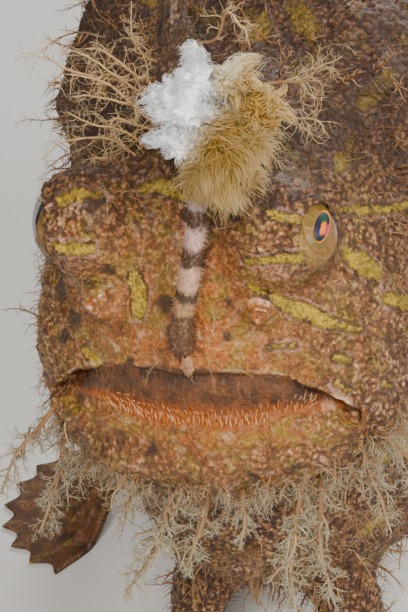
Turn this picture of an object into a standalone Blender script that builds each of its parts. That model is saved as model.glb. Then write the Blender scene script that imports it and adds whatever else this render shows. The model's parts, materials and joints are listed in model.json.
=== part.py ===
"""A shaggy frogfish at life size, standing on its four fins with its lure raised.

Metres, +Z up, floor at Z = 0. The fish faces -Y, and its left side is +X.
"""

import math
import random

import bmesh
import bpy
import numpy as np
from mathutils import Vector


def mm(*values):
    """Millimetres as metres: a number, or a point."""
    scaled = np.array(values, float) * 0.001
    return float(scaled[0]) if len(values) == 1 else scaled


# The flesh, as round masses that run into one another: centre, radii, blend and whether it is paired.
FLESH = (
    ("torso", mm(0, -2, 58), mm(28, 50, 41), mm(6), False),
    ("shoulder", mm(10, -11, 82), mm(17, 27, 16.5), mm(7), True),
    ("belly", mm(0, -8, 38), mm(23, 36, 26), mm(6), False),
    ("rump", mm(0, 34, 60), mm(14, 34, 24), mm(6), False),
    ("tail root", mm(0, 58, 60), mm(7, 20, 10.5), mm(5), False),
    ("head", mm(0, -38.5, 68), mm(20.5, 22, 24), mm(5), False),
    ("throat", mm(0, -33, 43), mm(15, 18, 17), mm(5), False),
    ("cheek", mm(12, -43, 61), mm(10, 13, 14), mm(4), True),
    ("jaw", mm(0, -49.5, 56), mm(17.5, 12.8, 6), mm(3), False),
)
HEART = mm(0, -27, 63)  # the point that every part of the flesh can be seen from
FLESH_GRID = 16  # squares along a side of the cube that is cast onto the flesh
GAP = mm(0.3)
SHARP_ANGLE = math.radians(38)

NECK_Y = mm(-27)
TAIL_Y = mm(52)
TAIL_FIN_Y = mm(68)

EYE_CENTRE = mm(12.4, -55.6, 79.9)
EYE_RADIUS = mm(4.5)
EYE_SIDES = (14, 8)
EYE_TURN = math.radians(69)  # how far each eye looks out from straight ahead
BROW_RADIUS = mm(6.2)
BROW_SET_BACK = mm(2.2)
BROW_BLEND = mm(2.8)

MOUTH_HALF_WIDTH = mm(17.5)
MOUTH_CORNER = mm(0, -50, 57)
UPPER_LIP_RISE = mm(7.4)
LOWER_LIP_RISE = mm(1.4)
JAW_FRONT_Y = mm(-61)
MOUTH_DEPTH = mm(6.0)
LIP_RADIUS = mm(0.95)
TOOTH_LENGTH = mm(1.3)
TEETH = 15

NOSTRIL = mm(8.7, -58.4, 72.2)
NOSTRIL_RADII = (mm(1.25), mm(1.0), mm(1.1))
NOSTRIL_BORE = mm(0.6)
NOSTRIL_HEIGHT = mm(1.5)

STALK = (mm(0.6, -58.5, 67.2), mm(1.0, -61.6, 70.5), mm(2.6, -61.8, 77.5), mm(4.0, -61.4, 85.0))
STALK_RADII = (mm(1.4), mm(1.25), mm(1.05), mm(0.95))
TUFT_CENTRE = mm(6.0, -62.0, 93.6)
TUFT_RADII = mm(7.8, 6.6, 8.8)
TUFT_CORE = 0.42  # of the way out to the tips
TUFT_LOCKS = 56

random.seed(11)

MATERIALS = {}


def material(name, colour, roughness):
    """A plain surface finish, made once."""
    if name not in MATERIALS:
        made = bpy.data.materials.new(name)
        made.use_nodes = True
        shader = made.node_tree.nodes["Principled BSDF"]
        shader.inputs["Base Color"].default_value = (*colour, 1.0)
        shader.inputs["Roughness"].default_value = roughness
        MATERIALS[name] = made
    return MATERIALS[name]


def skin():
    return material("skin", (0.52, 0.29, 0.17), 0.6)


def fin_skin():
    return material("fin", (0.50, 0.33, 0.19), 0.55)


def eye_skin():
    return material("eye", (0.10, 0.12, 0.16), 0.15)


def lure_skin():
    return material("lure", (0.80, 0.72, 0.55), 0.7)


def stalk_skin():
    return material("stalk", (0.42, 0.30, 0.26), 0.5)


# Shape of the flesh


def ellipsoid_distance(points, centre, radii):
    """Roughly how far each point is outside an ellipsoid."""
    offset = points - centre
    near = np.linalg.norm(offset / radii, axis=1)
    slope = np.linalg.norm(offset / radii**2, axis=1)
    return near * (near - 1) / np.maximum(slope, 1e-9)


def smooth_union(a, b, reach):
    """The smaller of two distances, rounded over where they are close."""
    share = np.clip(0.5 + 0.5 * (b - a) / reach, 0, 1)
    return b * (1 - share) + a * share - reach * share * (1 - share)


def eye_axis(side):
    return np.array((side * math.sin(EYE_TURN), -math.cos(EYE_TURN), 0.05))


def eye_centre(side):
    return EYE_CENTRE * (side, 1, 1)


def flesh_distance(points):
    """Roughly how far each point is outside the fish's flesh, without fins."""
    folded = points * (1, 1, 1)
    folded[:, 0] = np.abs(folded[:, 0])
    distance = np.full(len(points), 1.0)
    for _, centre, radii, reach, paired in FLESH:
        where = folded if paired else points
        distance = smooth_union(distance, ellipsoid_distance(where, centre, radii), reach)
    brow = eye_centre(1) - eye_axis(1) * BROW_SET_BACK
    brow_distance = np.linalg.norm(folded - brow, axis=1) - BROW_RADIUS
    return smooth_union(distance, brow_distance, BROW_BLEND)


def cast(origins, directions, level=0.0, steps=70, start=0.2):
    """Points where rays that come in along -directions first meet the flesh, at level outside it."""
    reach = np.full(len(origins), start)
    for _ in range(steps):
        points = origins + directions * reach[:, None]
        reach = np.maximum(reach - 0.75 * (flesh_distance(points) - level), 0.0)
    return origins + directions * reach[:, None]


def flesh_normal(points):
    """Outward directions of the flesh at points on or near it."""
    step = mm(0.2)
    slopes = []
    for axis in np.eye(3):
        ahead = flesh_distance(points + axis * step)
        behind = flesh_distance(points - axis * step)
        slopes.append(ahead - behind)
    normal = np.array(slopes).T
    return normal / np.linalg.norm(normal, axis=1)[:, None]


def on_flesh(points):
    """The points of the flesh beyond the given ones, as seen from the heart of the fish."""
    directions = np.atleast_2d(points) - HEART
    directions /= np.linalg.norm(directions, axis=1)[:, None]
    return cast(np.tile(HEART, (len(directions), 1)), directions)


# Meshes and objects


def new_object(name, mesh, finish=None):
    obj = bpy.data.objects.new(name, mesh)
    bpy.context.scene.collection.objects.link(obj)
    if finish:
        mesh.materials.append(finish)
    return obj


def mesh_object(name, points, faces, finish=None):
    """An object from points and faces, turned to face outwards."""
    mesh = bpy.data.meshes.new(name)
    mesh.from_pydata([tuple(p) for p in points], [], [tuple(f) for f in faces])
    work = bmesh.new()
    work.from_mesh(mesh)
    bmesh.ops.recalc_face_normals(work, faces=work.faces)
    work.to_mesh(mesh)
    work.free()
    return new_object(name, mesh, finish)


def flesh_object(name, level=0.0):
    """The whole flesh as one closed mesh: a cube whose points are cast onto it."""
    work = bmesh.new()
    bmesh.ops.create_cube(work, size=2.0)
    bmesh.ops.subdivide_edges(work, edges=work.edges, cuts=FLESH_GRID - 1, use_grid_fill=True)
    corners = np.array([v.co for v in work.verts], float)
    spread = np.tan(corners * math.pi / 4)
    directions = spread / np.linalg.norm(spread, axis=1)[:, None]
    placed = cast(np.tile(HEART, (len(directions), 1)), directions, level)
    for vertex, place in zip(work.verts, placed):
        vertex.co = place
    mesh = bpy.data.meshes.new(name)
    work.to_mesh(mesh)
    work.free()
    return new_object(name, mesh, skin())


def box_object(name, low, high, tilt=0.0, about=None):
    """A box between two corners, which may be tipped nose up about a point."""
    low, high = np.array(low), np.array(high)
    points = np.array([[(low, high)[i][0], (low, high)[j][1], (low, high)[k][2]]
                       for i in (0, 1) for j in (0, 1) for k in (0, 1)])
    if tilt:
        points = points - about
        y, z = points[:, 1].copy(), points[:, 2].copy()
        points[:, 1] = y * math.cos(tilt) + z * math.sin(tilt)
        points[:, 2] = -y * math.sin(tilt) + z * math.cos(tilt)
        points = points + about
    faces = ((0, 1, 3, 2), (4, 6, 7, 5), (0, 4, 5, 1), (2, 3, 7, 6), (0, 2, 6, 4), (1, 5, 7, 3))
    return mesh_object(name, points, faces)


def sphere_object(name, centre, radius, segments, rings, finish=None):
    work = bmesh.new()
    bmesh.ops.create_uvsphere(work, u_segments=segments, v_segments=rings, radius=radius)
    bmesh.ops.translate(work, verts=work.verts, vec=Vector(centre))
    mesh = bpy.data.meshes.new(name)
    work.to_mesh(mesh)
    work.free()
    return new_object(name, mesh, finish)


def square_to(direction):
    """A unit vector square to a unit direction."""
    spare = np.array((0.0, 0.0, 1.0)) if abs(direction[2]) < 0.9 else np.array((1.0, 0.0, 0.0))
    across = np.cross(spare, direction)
    return across / np.linalg.norm(across)


def smooth_path(points, count):
    """A smooth curve through points, as count places along it."""
    points = np.array(points, float)
    padded = np.vstack([2 * points[0] - points[1], points, 2 * points[-1] - points[-2]])
    places = np.linspace(0, len(points) - 1 - 1e-9, count)
    out = []
    for place in places:
        i = int(place)
        t = place - i
        a, b, c, d = padded[i:i + 4]
        out.append(0.5 * (2 * b + (c - a) * t + (2 * a - 5 * b + 4 * c - d) * t**2
                          + (3 * b - a - 3 * c + d) * t**3))
    return np.array(out)


def tube(path, radii, sides, flat=1.0, flat_axis=None):
    """Points and faces of a closed tube; flat narrows it across flat_axis."""
    points, faces = [], []
    first = flat_axis
    for i, place in enumerate(path):
        ahead = path[min(i + 1, len(path) - 1)] - path[max(i - 1, 0)]
        ahead = ahead / np.linalg.norm(ahead)
        if first is None:
            first = square_to(ahead)
        first = first - ahead * (first @ ahead)
        first = first / np.linalg.norm(first)
        second = np.cross(ahead, first)
        for k in range(sides):
            turn = 2 * math.pi * k / sides
            across = first * math.cos(turn) * flat + second * math.sin(turn)
            points.append(place + across * radii[i])
    for i in range(len(path) - 1):
        for k in range(sides):
            a, b = i * sides + k, i * sides + (k + 1) % sides
            faces.append((a, b, b + sides))
            faces.append((a, b + sides, a + sides))
    faces.append(tuple(range(sides))[::-1])
    faces.append(tuple((len(path) - 1) * sides + k for k in range(sides)))
    return points, faces


def lock(root, lean, length, radius, droop=0.0, sides=3, rows=3, sink=None):
    """A tapered, bent strand that grows from root along lean and droops towards its tip."""
    lean = lean / np.linalg.norm(lean)
    start = root - lean * (radius * 2.5 if sink is None else sink)
    tip = root + lean * length * 0.9 + np.array((0, 0, -droop * length))
    knee = root + lean * length * 0.55
    path = bent(start, knee, tip, rows)
    sizes = radius * (1 - 0.82 * np.linspace(0, 1, rows) ** 1.6)
    return tube_object("strand", path, sizes, sides)


def comb(root, tip, radius, branches, reach):
    """A long flap of skin: a stem with side strands, like a torn feather, that hangs from root."""
    start = root + (root - tip) / np.linalg.norm(root - tip) * radius * 2
    middle = (root + tip) / 2 + mm(0, -1.2, -0.6)
    path = smooth_path((start, root, middle, tip), STEM_ROWS)
    pieces = [tube_object("stem", path, radius * (1 - 0.6 * np.linspace(0, 1, STEM_ROWS)), 4)]
    along = (tip - root) / np.linalg.norm(tip - root)
    across = np.cross(along, np.array((0.0, 1.0, 0.0)))
    across /= np.linalg.norm(across)
    for i in range(branches):
        share = 0.3 + 0.62 * (i + 0.5) / branches
        side = 1 if i % 2 else -1
        place = smooth_path((root, middle, tip), 21)[int(share * 20)]
        lean = across * side + along * random.uniform(0.5, 0.9)
        lean[1] += random.uniform(-0.35, 0.35)
        length = reach * random.uniform(0.75, 1.1) * (1.1 - 0.35 * share)
        pieces.append(lock(place, lean, length, mm(0.34), -0.1, rows=2, sink=radius * 0.3))
    return pieces


def tube_object(name, path, radii, sides=8, flat=1.0, flat_axis=None, finish=None):
    points, faces = tube(path, radii, sides, flat, flat_axis)
    return mesh_object(name, points, faces, finish)


def bake(obj):
    """Applies an object's modifiers, so that its mesh is what shows."""
    graph = bpy.context.evaluated_depsgraph_get()
    made = bpy.data.meshes.new_from_object(obj.evaluated_get(graph))
    obj.modifiers.clear()
    old = obj.data
    obj.data = made
    bpy.data.meshes.remove(old)
    return obj


def solve(obj, operation, solvers, **operand):
    """Runs one Boolean on an object with the first of the solvers that gives a closed result."""
    before = obj.data.copy()
    for solver in solvers:
        cut = obj.modifiers.new("boolean", "BOOLEAN")
        cut.operation = operation
        cut.solver = solver
        for field, value in operand.items():
            setattr(cut, field, value)
        bake(obj)
        keep_largest(obj)
        if is_closed(obj.data) and len(obj.data.vertices) != len(before.vertices):
            break
        obj.data = before.copy()
    return obj


def is_closed(mesh):
    """Whether every edge of a mesh has exactly two faces."""
    work = bmesh.new()
    work.from_mesh(mesh)
    closed = len(work.faces) > 0 and all(len(edge.link_faces) == 2 for edge in work.edges)
    work.free()
    return closed


def boolean(obj, other, operation, solvers=("EXACT", "MANIFOLD")):
    """Cuts, joins or keeps the overlap of obj with other, which is then removed."""
    solve(obj, operation, solvers, object=other)
    bpy.data.objects.remove(other)
    return obj


def copy_of(obj, name):
    made = obj.copy()
    made.data = obj.data.copy()
    made.name = name
    bpy.context.scene.collection.objects.link(made)
    return made


def join_pieces(obj, pieces):
    """Unites closed pieces with obj in one Boolean, and removes them."""
    if not pieces:
        return obj
    group = bpy.data.collections.new(obj.name + " pieces")
    bpy.context.scene.collection.children.link(group)
    for piece in pieces:
        group.objects.link(piece)
        bpy.context.scene.collection.objects.unlink(piece)
    solve(obj, "UNION", ("MANIFOLD", "EXACT"), operand_type="COLLECTION", collection=group)
    for piece in pieces:
        bpy.data.objects.remove(piece)
    bpy.data.collections.remove(group)
    return obj


def keep_largest(obj):
    """Keeps only the largest closed surface of an object."""
    work = bmesh.new()
    work.from_mesh(obj.data)
    left = set(work.verts)
    shells = []
    while left:
        shell, edge = set(), [left.pop()]
        while edge:
            vertex = edge.pop()
            if vertex in shell:
                continue
            shell.add(vertex)
            edge.extend(e.other_vert(vertex) for e in vertex.link_edges)
        left -= shell
        shells.append(shell)
    shells.sort(key=len)
    loose = [v for shell in shells[:-1] for v in shell]
    bmesh.ops.delete(work, geom=loose, context="VERTS")
    bmesh.ops.triangulate(work, faces=work.faces)
    work.to_mesh(obj.data)
    work.free()
    return obj


# The body in its named parts

FAR = mm(300)
JAW_TILT = math.atan2(4.4, 11.0)  # the mouth's middle plane rises this much towards the front


def mouth_curve(share, rise):
    """Height of a lip above the mouth's corners, at a share of the half width."""
    return rise * (1 - abs(share) ** 2.3)


def mouth_front(share):
    """Where the face lies along the mouth, front to back."""
    return JAW_FRONT_Y + (MOUTH_CORNER[1] - JAW_FRONT_Y) * abs(share) ** 2.2


def mouth_cutter():
    """The open space between the lips, a crescent that gets shallower to its corners."""
    points, faces = [], []
    shares = np.linspace(-1, 1, 17)
    for share in shares:
        x = share * MOUTH_HALF_WIDTH
        low = MOUTH_CORNER[2] + mouth_curve(share, LOWER_LIP_RISE) - mm(0.15)
        high = MOUTH_CORNER[2] + mouth_curve(share, UPPER_LIP_RISE) + mm(0.15)
        back = mouth_front(share) + MOUTH_DEPTH * (1 - share**2) + mm(1.5)
        middle = (low + high) / 2
        front = mm(-75)
        points += [(x, front, low), (x, back - mm(1.2), low), (x, back, middle),
                   (x, back - mm(1.2), high), (x, front, high)]
    for i in range(len(shares) - 1):
        for k in range(5):
            a, b = i * 5 + k, i * 5 + (k + 1) % 5
            faces.append((a, b, b + 5, a + 5))
    faces.append((0, 1, 2, 3, 4))
    faces.append(tuple(len(points) - 5 + k for k in range(5))[::-1])
    return mesh_object("mouth space", points, faces)


def lip_path(rise, lift, count=13):
    """Places along a lip, on the flesh."""
    shares = np.linspace(-0.93, 0.93, count)
    starts = np.array([(s * MOUTH_HALF_WIDTH, mm(-90), MOUTH_CORNER[2] + mouth_curve(s, rise) + lift)
                       for s in shares])
    back = np.tile((0.0, -1.0, 0.0), (count, 1))
    origins = starts + np.array((0, mm(80), 0))
    return cast(origins, back, -LIP_RADIUS * 0.45)


def lips():
    """The two rolled edges of the mouth."""
    upper = lip_path(UPPER_LIP_RISE, LIP_RADIUS + mm(0.1))
    lower = lip_path(LOWER_LIP_RISE, -LIP_RADIUS - mm(0.25))
    fade = 1 - 0.35 * np.abs(np.linspace(-1, 1, len(upper))) ** 2
    return (tube_object("upper lip", upper, LIP_RADIUS * fade, 6),
            tube_object("lower lip", lower, LIP_RADIUS * 1.35 * fade, 6))


def body_parts():
    """Head, lower jaw, torso and tail root, parted from the whole flesh by thin cuts."""
    whole = flesh_object("whole")
    below = mm(-50)
    torso = copy_of(whole, "torso")
    tail = copy_of(whole, "tail_root")
    boolean(torso, box_object("keep", (-FAR, NECK_Y + GAP / 2, below),
                              (FAR, TAIL_Y - GAP / 2, FAR)), "INTERSECT")
    boolean(tail, box_object("keep", (-FAR, TAIL_Y + GAP / 2, below),
                             (FAR, TAIL_FIN_Y, FAR)), "INTERSECT")
    front = boolean(whole, box_object("keep", (-FAR, -FAR, below),
                                      (FAR, NECK_Y - GAP / 2, FAR)), "INTERSECT")
    upper_lip, lower_lip = lips()
    boolean(front, mouth_cutter(), "DIFFERENCE")
    head = copy_of(front, "head")
    jaw = front
    jaw.name = "lower_jaw"
    corner = MOUTH_CORNER
    boolean(head, box_object("keep", (-FAR, -FAR, corner[2] + GAP / 2), (FAR, FAR, FAR),
                             JAW_TILT, corner), "INTERSECT")
    boolean(jaw, box_object("keep", (-FAR, -FAR, -FAR), (FAR, FAR, corner[2] - GAP / 2),
                            JAW_TILT, corner), "INTERSECT")
    grown = coat()
    join_pieces(head, [upper_lip, *grown["head"]])
    join_pieces(jaw, [lower_lip, *teeth(), *beard(), *grown["lower_jaw"]])
    join_pieces(torso, grown["torso"])
    join_pieces(tail, grown["tail_root"])
    nostrils(head)
    for side in (-1, 1):
        socket = sphere_object("socket", eye_centre(side), EYE_RADIUS + GAP, *EYE_SIDES)
        boolean(head, socket, "DIFFERENCE")


def teeth():
    """The row of small teeth that the open mouth shows along the lower jaw."""
    made = []
    for i in range(TEETH):
        share = -0.8 + 1.6 * i / (TEETH - 1)
        root = np.array((share * MOUTH_HALF_WIDTH, mouth_front(share) + mm(1.9),
                         MOUTH_CORNER[2] + mouth_curve(share, LOWER_LIP_RISE) - mm(0.9)))
        lean = np.array((0, 0.35, 1.0))
        tip = root + lean * (TOOTH_LENGTH + mm(0.9)) * random.uniform(0.8, 1.1)
        made.append(tube_object("tooth", np.array([root, tip]), (mm(0.42), mm(0.1)), 4))
    return made


def eyes():
    """The two eyeballs in their sockets."""
    for side, name in ((1, "eye_left"), (-1, "eye_right")):
        sphere_object(name, eye_centre(side), EYE_RADIUS, *EYE_SIDES, eye_skin())


def trim_to_flesh(obj):
    """Cuts away what is inside the flesh, or nearer to it than the gap."""
    return boolean(obj, flesh_object("skin", GAP), "DIFFERENCE", ("MANIFOLD", "EXACT"))


# Fins


def fan(name, rays, notch, root_half, tip_half, web_half, finish=None):
    """A fin from the places along each of its rays, with a web between rays.

    The rays stand out as ridges on both faces, and the web is notched between their tips.
    """
    rows = len(rays[0])
    columns, ridge = [], []
    for i, ray in enumerate(rays):
        columns.append(ray)
        ridge.append(True)
        if i + 1 < len(rays):
            columns.append(shorter((ray + rays[i + 1]) / 2, notch))
            ridge.append(False)
    grid = np.array(columns)
    normal = np.cross(np.gradient(grid, axis=0), np.gradient(grid, axis=1))
    normal /= np.linalg.norm(normal, axis=2)[:, :, None]
    ray_half = root_half + (tip_half - root_half) * np.linspace(0, 1, rows)
    half = np.where(np.array(ridge)[:, None], ray_half, np.minimum(web_half, ray_half))
    front, back = grid + normal * half[:, :, None], grid - normal * half[:, :, None]
    count = len(columns)
    points = np.vstack([front.reshape(-1, 3), back.reshape(-1, 3)])
    lower = count * rows
    faces = []
    for i in range(count - 1):
        for j in range(rows - 1):
            a, b = i * rows + j, (i + 1) * rows + j
            faces += [(a, b, b + 1), (a, b + 1, a + 1)]
            faces += [(lower + a, lower + b + 1, lower + b), (lower + a, lower + a + 1, lower + b + 1)]
    rim = [i * rows for i in range(count)] + [(count - 1) * rows + j for j in range(1, rows)]
    rim += [i * rows + rows - 1 for i in range(count - 2, -1, -1)] + list(range(rows - 2, 0, -1))
    for a, b in zip(rim, rim[1:] + rim[:1]):
        faces += [(a, lower + a, lower + b), (a, lower + b, b)]
    return mesh_object(name, points, faces, finish)


def shorter(path, notch):
    """The same path, ending short of its tip by a share of its length."""
    share = np.linspace(0, 1, len(path))
    return np.array([np.interp(share * (1 - notch * share), share, line) for line in path.T]).T


def bent(root, bend, tip, rows):
    """Places along a ray that bends once."""
    share = np.linspace(0, 1, rows)[:, None]
    return root * (1 - share) ** 2 + 2 * bend * share * (1 - share) + tip * share**2


FIN_ROWS = 5
STEM_ROWS = 5
DORSAL_RAYS = 12
DORSAL_FRONT, DORSAL_BACK = mm(-4), mm(56)
DORSAL_HEIGHT = mm(23)
ANAL_RAYS = 7
ANAL_FRONT, ANAL_BACK = mm(22), mm(54)
ANAL_HEIGHT = mm(19)
TAIL_RAYS = 9
TAIL_LENGTH = mm(36)
TAIL_ROOT_HALF_HEIGHT = mm(7.4)
TAIL_SPREAD = math.radians(33)


def edge_of_flesh(y, up):
    """The top or bottom of the flesh in the middle plane."""
    origin = np.array([(0.0, y, mm(58))])
    return cast(origin, np.array([(0.0, 0.0, 1.0 if up else -1.0)]))[0]


def long_fin(name, rays, front, back, height, up):
    """A fin along the middle of the back or the belly."""
    paths = []
    for i in range(rays):
        share = i / (rays - 1)
        root = edge_of_flesh(front + (back - front) * share, up)
        lean = math.radians(30 + 28 * share)
        tall = height * (0.72 + 0.42 * math.sin(math.pi * (0.12 + 0.74 * share)))
        sign = 1 if up else -1
        along = np.array((0, math.sin(lean), sign * math.cos(lean)))
        sway = mm(1.6) * math.sin(i * 1.1)
        root = root - along * mm(3)
        tip = root + along * (tall + mm(3)) + np.array((sway, 0, 0))
        bend = root + along * tall * 0.55 + np.array((-sway * 0.4, -mm(1.2), sign * mm(1.5)))
        paths.append(bent(root, bend, tip, FIN_ROWS))
    return trim_to_flesh(fan(name, paths, 0.16, mm(1.3), mm(0.4), mm(0.45), fin_skin()))


def tail_fin():
    """The rounded fan of the tail."""
    paths = []
    middle = mm(0, 0, 60) + np.array((0, TAIL_FIN_Y + GAP, 0))
    for i in range(TAIL_RAYS):
        share = 2 * i / (TAIL_RAYS - 1) - 1
        turn = share * TAIL_SPREAD
        root = middle + np.array((0, 0, share * TAIL_ROOT_HALF_HEIGHT))
        length = TAIL_LENGTH * (1 - 0.12 * share**2)
        sway = mm(2.2) * share
        tip = root + np.array((mm(3.0) + sway, length * math.cos(turn), length * math.sin(turn)))
        bend = root + np.array((sway * 0.3, length * 0.5, length * 0.5 * math.sin(turn) * 0.85))
        paths.append(bent(root, bend, tip, FIN_ROWS))
    return fan("tail_fin", paths, 0.10, mm(1.8), mm(0.45), mm(0.5), fin_skin())


PECTORAL_RAYS = 9
ARM = (mm(13, 0, 42), mm(26, 4, 33), mm(34, 10, 22), mm(36, 11, 11))
ARM_RADII = (mm(10.5), mm(9.0), mm(7.0), mm(5.6))
ARM_FLAT = 0.62
ARM_TURN = math.radians(-12)
PELVIC_RAYS = 5
LEG = (mm(6, -28, 29), mm(9.5, -32, 19), mm(11.5, -35, 9))
LEG_RADII = (mm(5.2), mm(4.6), mm(3.6))
LEG_FLAT = 0.7
LEG_TURN = math.radians(-52)
TOE_ROWS = 7
TOE_HEIGHT = mm(0.45)  # of the middle of a toe where it lies on the floor
TOE_LANDING = 0.6  # the share of a ray's length at which it comes down to the floor
SOLE = mm(0.35)  # what is lower than this is pressed flat on the floor


def hand(name, wrist, facing, rays, width, length, spread, side):
    """A fan of toes from a wrist down to the floor, the outer part of each lying flat on it."""
    paths = []
    ahead = np.array((math.cos(facing), math.sin(facing), 0))
    across = np.array((-math.sin(facing), math.cos(facing), 0))
    along = np.linspace(0, 1, TOE_ROWS)[:, None]
    drop = np.clip(1 - along / TOE_LANDING, 0, 1) ** 1.5
    for i in range(rays):
        share = 2 * i / (rays - 1) - 1
        turn = share * spread
        outward = ahead * math.cos(turn) + across * math.sin(turn)
        root = wrist + across * share * width
        path = root + outward * length * (1 - 0.16 * share**2) * along
        path[:, 2:] = TOE_HEIGHT + (root[2] - TOE_HEIGHT) * drop
        paths.append(path * (side, 1, 1))
    return fan(name, paths, 0.2, mm(1.6), mm(0.5), mm(0.55), fin_skin())


def press_flat(obj):
    """Puts the lowest points of a sole on the floor, as one flat."""
    for vertex in obj.data.vertices:
        if vertex.co.z < SOLE:
            vertex.co.z = 0.0


def limb(arm_name, hand_name, path, radii, flat, facing, rays, width, length, spread, side):
    """An arm-like fin root that ends at the body, and the hand of rays at its end."""
    mirror = np.array((side, 1, 1))
    line = smooth_path(path, 7) * mirror
    sizes = np.interp(np.linspace(0, 1, 7), np.linspace(0, 1, len(radii)), radii)
    across = np.array((-math.sin(facing), math.cos(facing), 0)) * mirror
    flat_axis = np.cross(across, line[-1] - line[-2])
    wrist = path[-1] + (line[-2] - line[-1]) * mirror * 0.35
    fingers = hand(hand_name, wrist, facing, rays, width, length, spread, side)
    press_flat(fingers)
    longer = line.copy()
    longer[-1] += (line[-1] - line[-2]) / np.linalg.norm(line[-1] - line[-2]) * GAP
    space = tube_object("arm space", longer, sizes + GAP, 12, flat, flat_axis)
    boolean(fingers, space, "DIFFERENCE")
    arm = tube_object(arm_name, line, sizes, 12, flat, flat_axis, fin_skin())
    return trim_to_flesh(arm)


def limbs():
    """The two arm-like pectoral fins and the two small pelvic fins."""
    for side, word in ((1, "left"), (-1, "right")):
        limb("pectoral_arm_" + word, "pectoral_fin_" + word, ARM, ARM_RADII, ARM_FLAT, ARM_TURN,
             PECTORAL_RAYS, mm(4.6), mm(22), math.radians(56), side)
        limb("pelvic_arm_" + word, "pelvic_fin_" + word, LEG, LEG_RADII, LEG_FLAT, LEG_TURN,
             PELVIC_RAYS, mm(2.6), mm(13), math.radians(42), side)


# The three free spines of the head

SECOND_SPINE = (mm(0, -47.5, 80), mm(0, -50.5, 90), mm(-0.6, -50.5, 99), mm(-1.2, -47.5, 108))
SECOND_SPINE_RADII = (mm(3.6), mm(3.1), mm(2.4), mm(1.3))
THIRD_SPINE = (mm(0, -24, 84), mm(0, -19, 95), mm(0.5, -12, 104), mm(0.8, -4, 109))
THIRD_SPINE_RADII = (mm(8.0), mm(6.0), mm(3.9), mm(1.8))


SECOND_SPINE_STRANDS = (
    # a point on the spine, the strand's tip, and its radius
    (mm(-1.2, -50.5, 95.0), mm(-18.0, -50.5, 98.2), mm(0.62)),
    (mm(-1.2, -50.8, 93.6), mm(-14.2, -52.0, 95.4), mm(0.6)),
    (mm(-1.0, -50.2, 97.5), mm(-12.5, -50.0, 101.5), mm(0.55)),
    (mm(-1.2, -50.8, 91.2), mm(-16.4, -51.0, 87.4), mm(0.6)),
    (mm(-1.4, -50.6, 89.4), mm(-12.0, -53.0, 84.6), mm(0.5)),
    (mm(-1.0, -49.6, 99.5), mm(-7.5, -48.0, 106.0), mm(0.5)),
    (mm(0.4, -49.6, 100.0), mm(6.5, -47.0, 106.5), mm(0.5)),
    (mm(1.0, -49.6, 95.0), mm(12.5, -45.5, 98.0), mm(0.5)),
)


def free_spine(name, path, radii, flat, strands=()):
    """A thick spine wrapped in skin, with its strands, that ends at the body."""
    line = smooth_path(path, 8)
    sizes = np.interp(np.linspace(0, 1, 8), np.linspace(0, 1, len(radii)), radii)
    spine = tube_object(name, line, sizes, 10, flat, np.array((1.0, 0, 0)), skin())
    pieces = []
    for root, tip, radius in strands:
        bow = (root + tip) / 2 + mm(0, -0.6, 1.6)
        path = smooth_path((root, bow, tip), STEM_ROWS)
        pieces.append(tube_object("strand", path, radius * (1 - 0.7 * np.linspace(0, 1, STEM_ROWS)), 4))
    join_pieces(spine, pieces)
    return trim_to_flesh(spine)


def lure():
    """The rod that stands on the snout, and the tuft at its end."""
    line = smooth_path(STALK, 12)
    sizes = np.interp(np.linspace(0, 1, 12), np.linspace(0, 1, len(STALK_RADII)), STALK_RADII)
    stalk = tube_object("lure_stalk", line, sizes, 8, finish=stalk_skin())
    trim_to_flesh(stalk)
    tuft = sphere_object("lure_tuft", (0, 0, 0), 1.0, 14, 9, lure_skin())
    for vertex in tuft.data.vertices:
        vertex.co = Vector(TUFT_CENTRE + np.array(vertex.co) * TUFT_RADII * TUFT_CORE)
    join_pieces(tuft, tuft_locks())
    inflated = tube_object("rod space", line, sizes + GAP, 8)
    boolean(tuft, inflated, "DIFFERENCE")


def even_directions(count, twist=0.0):
    """Directions spread evenly over a ball."""
    turns = np.arange(count) + 0.5
    height = 1 - 2 * turns / count
    around = turns * math.pi * (3 - math.sqrt(5)) + twist
    ring = np.sqrt(1 - height**2)
    return np.stack([ring * np.cos(around), ring * np.sin(around), height], axis=1)


def tuft_locks():
    """The soft strands of the lure's tuft, the lower ones longer and drooping."""
    pieces = []
    for way in even_directions(TUFT_LOCKS):
        root = TUFT_CENTRE + way * TUFT_RADII * TUFT_CORE * 0.9
        tip = TUFT_CENTRE + way * TUFT_RADII * random.uniform(0.84, 1.0)
        length = np.linalg.norm(tip - root) * 1.02
        droop = 0.10 if way[2] > 0 else 0.2
        pieces.append(lock(root, tip - root, length, mm(0.8), droop, sink=mm(0.9)))
    return pieces


# The beard and the other skin flaps

BEARD = (
    # root near the jaw's edge, tip, radius of the stem, number and reach of its side strands
    (mm(-1.8, -58, 50.6), mm(-9.9, -58.5, 33.6), mm(0.8), 7, mm(4.2)),
    (mm(1.4, -58, 50.5), mm(-2.8, -58, 38.0), mm(0.65), 4, mm(3.0)),
    (mm(11.0, -54.5, 49.6), mm(9.6, -56, 32.0), mm(0.75), 6, mm(3.8)),
    (mm(12.9, -54.0, 49.8), mm(14.2, -55.5, 33.4), mm(0.7), 5, mm(3.6)),
    (mm(-17.2, -50, 55.6), mm(-27.6, -51.5, 42.0), mm(0.75), 6, mm(4.0)),
    (mm(-16.6, -50, 53.4), mm(-22.6, -53, 37.6), mm(0.7), 6, mm(3.6)),
    (mm(-6.2, -57.6, 51.2), mm(-9.8, -59, 43.5), mm(0.6), 3, mm(2.4)),
    (mm(5.2, -57.8, 50.2), mm(4.6, -59, 42.5), mm(0.55), 3, mm(2.2)),
    (mm(17.2, -50.5, 51.5), mm(20.6, -52.5, 42.5), mm(0.65), 5, mm(3.0)),
    (mm(18.4, -46.5, 52.5), mm(25.0, -47.5, 41.0), mm(0.65), 5, mm(3.2)),
)
FRINGE = 15
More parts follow.
